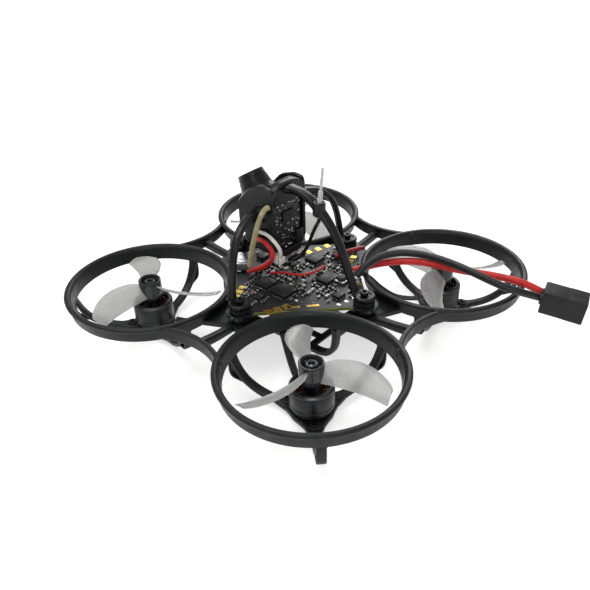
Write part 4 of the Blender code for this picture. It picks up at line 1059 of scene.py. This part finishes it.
# %% Bell and shaft
can = softened([(3.9, 3.6), (4.25, 3.6), (4.35, 3.7), (4.35, 4.3), (4.27, 4.36), (4.27, 4.52), (4.35, 4.58),
                (4.35, 7.2), (4.27, 7.26), (4.27, 7.42), (4.35, 7.48), (4.33, 7.8), (4.0, 8.14), (3.5, 8.2),
                (3.38, 8.05), (3.4, 7.65), (3.9, 7.2)], 0.05, 3)
can = lathe(can, 96)
# The thin ring on the bell's top chamfer, coloured paler as a painted highlight.
bright = lathe(softened([(4.36, 7.72), (4.37, 7.82), (4.04, 8.17), (3.98, 8.14), (4.3, 7.78)], 0.03, 3), 96)
magnets = many(moved(block((0.3, 1.5, 2.7), 0.08, 2), (3.68, 0, 5.3)), np.zeros((12, 3)),
               np.arange(12) * 30.0 + 15)
boss = lathe(softened([(0.6, 7.4), (1.25, 7.4), (1.25, 8.2), (0.6, 8.2)], 0.1, 3), 40)
spoke_path = np.array([(0.9, 0, 7.75), (1.6, 0, 7.8), (2.6, 0, 7.85), (3.3, 0, 7.85), (3.9, 0, 7.8)])
spoke = swept(spoke_path, oval(4, 16), (0, 1, 0), np.array([0.6, 0.42, 0.4, 0.48, 0.7]), 0.3)
spokes = many(spoke, np.zeros((3, 3)), np.arange(3) * 120.0)
shaft = lathe([(0, 2.6), (0.5, 2.6), (0.5, 12.25), (0.42, 12.4), (0, 12.4)], 32)

# %% [markdown]
# ## Propellers
# Each propeller has three wide, twisted blades on a hollow hub. A blade is a surface of two parameters: along
# its radius a smooth curve gives the leading and trailing edges, and across the chord a low arch joins them.

# %% Blade and hub
BLADE_ROWS = [(1.7, 1.3, 12.4, -1.2, 9.7), (2.9, 2.3, 12.6, -1.1, 9.65), (4.2, 3.1, 12.7, -1.0, 9.6),
              (7.4, 3.9, 12.6, -1.0, 9.5), (10.6, 3.6, 12.2, -1.3, 9.5), (13.4, 2.3, 11.5, -2.0, 9.5),
              (14.7, 1.15, 11.1, -2.45, 9.55), (15.2, 0.4, 10.85, -2.5, 9.65)]


def blade(sense):
    """Chord share s from lead to trail: y and z run straight between the edges, z rises by 1.2 s (1 - s), and
    the two skins stand 0.6 sqrt(s (1 - s)), thinner towards the tip, above and below that."""
    rows = curve_through(BLADE_ROWS, 7)
    radius, lead, lead_z, trail, trail_z = (column[:, None] for column in rows.T)
    s = 0.5 - 0.5 * np.cos(np.linspace(0, math.pi, 15))
    around = np.concatenate([s, s[-2:0:-1]])[None]
    skin_side = np.concatenate([np.ones(15), -np.ones(13)])[None]
    taper = np.interp(radius, (1.7, 6, 15.2), (1.3, 1, 0.7))
    half = 0.6 * np.sqrt(np.maximum(around * (1 - around), 0.004)) * taper
    y = lead + (trail - lead) * around
    z = lead_z + (trail_z - lead_z) * around + 1.2 * around * (1 - around) + skin_side * half
    skin = np.stack([np.broadcast_to(radius, y.shape), sense * y, z], -1)
    ends = [np.broadcast_to(skin[k].mean(axis=0), (1, *skin.shape[1:])) for k in (0, -1)]
    skin = np.concatenate([ends[0], skin, ends[1]])
    return skin.reshape(-1, 3), grid_faces(skin.shape[0], skin.shape[1])


hub_profile = softened([(0.62, 9.1), (2.45, 9.1), (2.45, 13.2), (2.0, 13.2), (2.0, 11.2), (1.15, 11.2),
                        (1.15, 12.9), (0.62, 12.9)], 0.14, 3)
hub = lathe(hub_profile, 72)

# %% Wires from motor to board


def motor_wires(sx, sy):
    """Three jackets side by side on one curve, 0.53 mm apart, under the ring and up to the board's edge."""
    along = np.array([-sx * math.cos(math.radians(60)), -sy * math.sin(math.radians(60)), 0.0])
    across = np.cross(along, (0, 0, 1))
    heights = [(4.9, 3.3), (7.5, 3.1), (10.5, 3.6), (13.6, 5.6), (16.0, 7.8), (18.0, 8.8), (19.2, 9.8),
               (19.9, 10.8)]
    route = [np.array([sx * DUCT, sy * DUCT, z]) + along * r for r, z in heights]
    path = curve_through(route, 8)
    jackets = [swept(path + across * off, oval(2, 12), across, 0.26, 0.26) for off in (-0.53, 0, 0.53)]
    return [(jacket, black_silicone) for jacket in jackets]


# %% One of each in every duct
SPIN = {"front_left": (61.5, -1), "front_right": (20.0, 1), "rear_left": (48.0, 1), "rear_right": (85.0, -1)}
for corner, (sx, sy) in CORNERS.items():
    at, rotor = (sx * DUCT, sy * DUCT, 0), "rotor_" + corner
    piece("motor_base_turned_" + corner, "frame", (moved(base, at), anodised_can),
          replaces=("motor_base_" + corner,))
    piece("stator_wound_" + corner, "frame", (moved(core, at), lamination),
          (moved(coils, at), copper_winding),
          (moved(sleeve_ring, at), grommet_rubber), replaces=("stator_" + corner,))
    piece("bell_turned_" + corner, rotor, (moved(can, at), anodised_can), (moved(bright, at), rim_painted_highlight),
          (moved(magnets, at), shell_steel), (moved(boss, at), anodised_can),
          (moved(spokes, at), anodised_can), replaces=("bell_" + corner,))
    piece("shaft_ground_" + corner, rotor, (moved(shaft, at), steel_shaft), replaces=("shaft_" + corner,))
    start, sense = SPIN[corner]
    three = many(blade(sense), np.zeros((3, 3)), start + np.arange(3) * 120.0)
    piece("propeller_moulding_" + corner, rotor, (moved(three, at), blade_clear), (moved(hub, at), hub_smoke),
          replaces=("propeller_" + corner,), sharp=50)
    piece("motor_wires_jacket_" + corner, "frame", *motor_wires(sx, sy), replaces=("motor_wires_" + corner,))
print("four motors, propellers and wire sets")
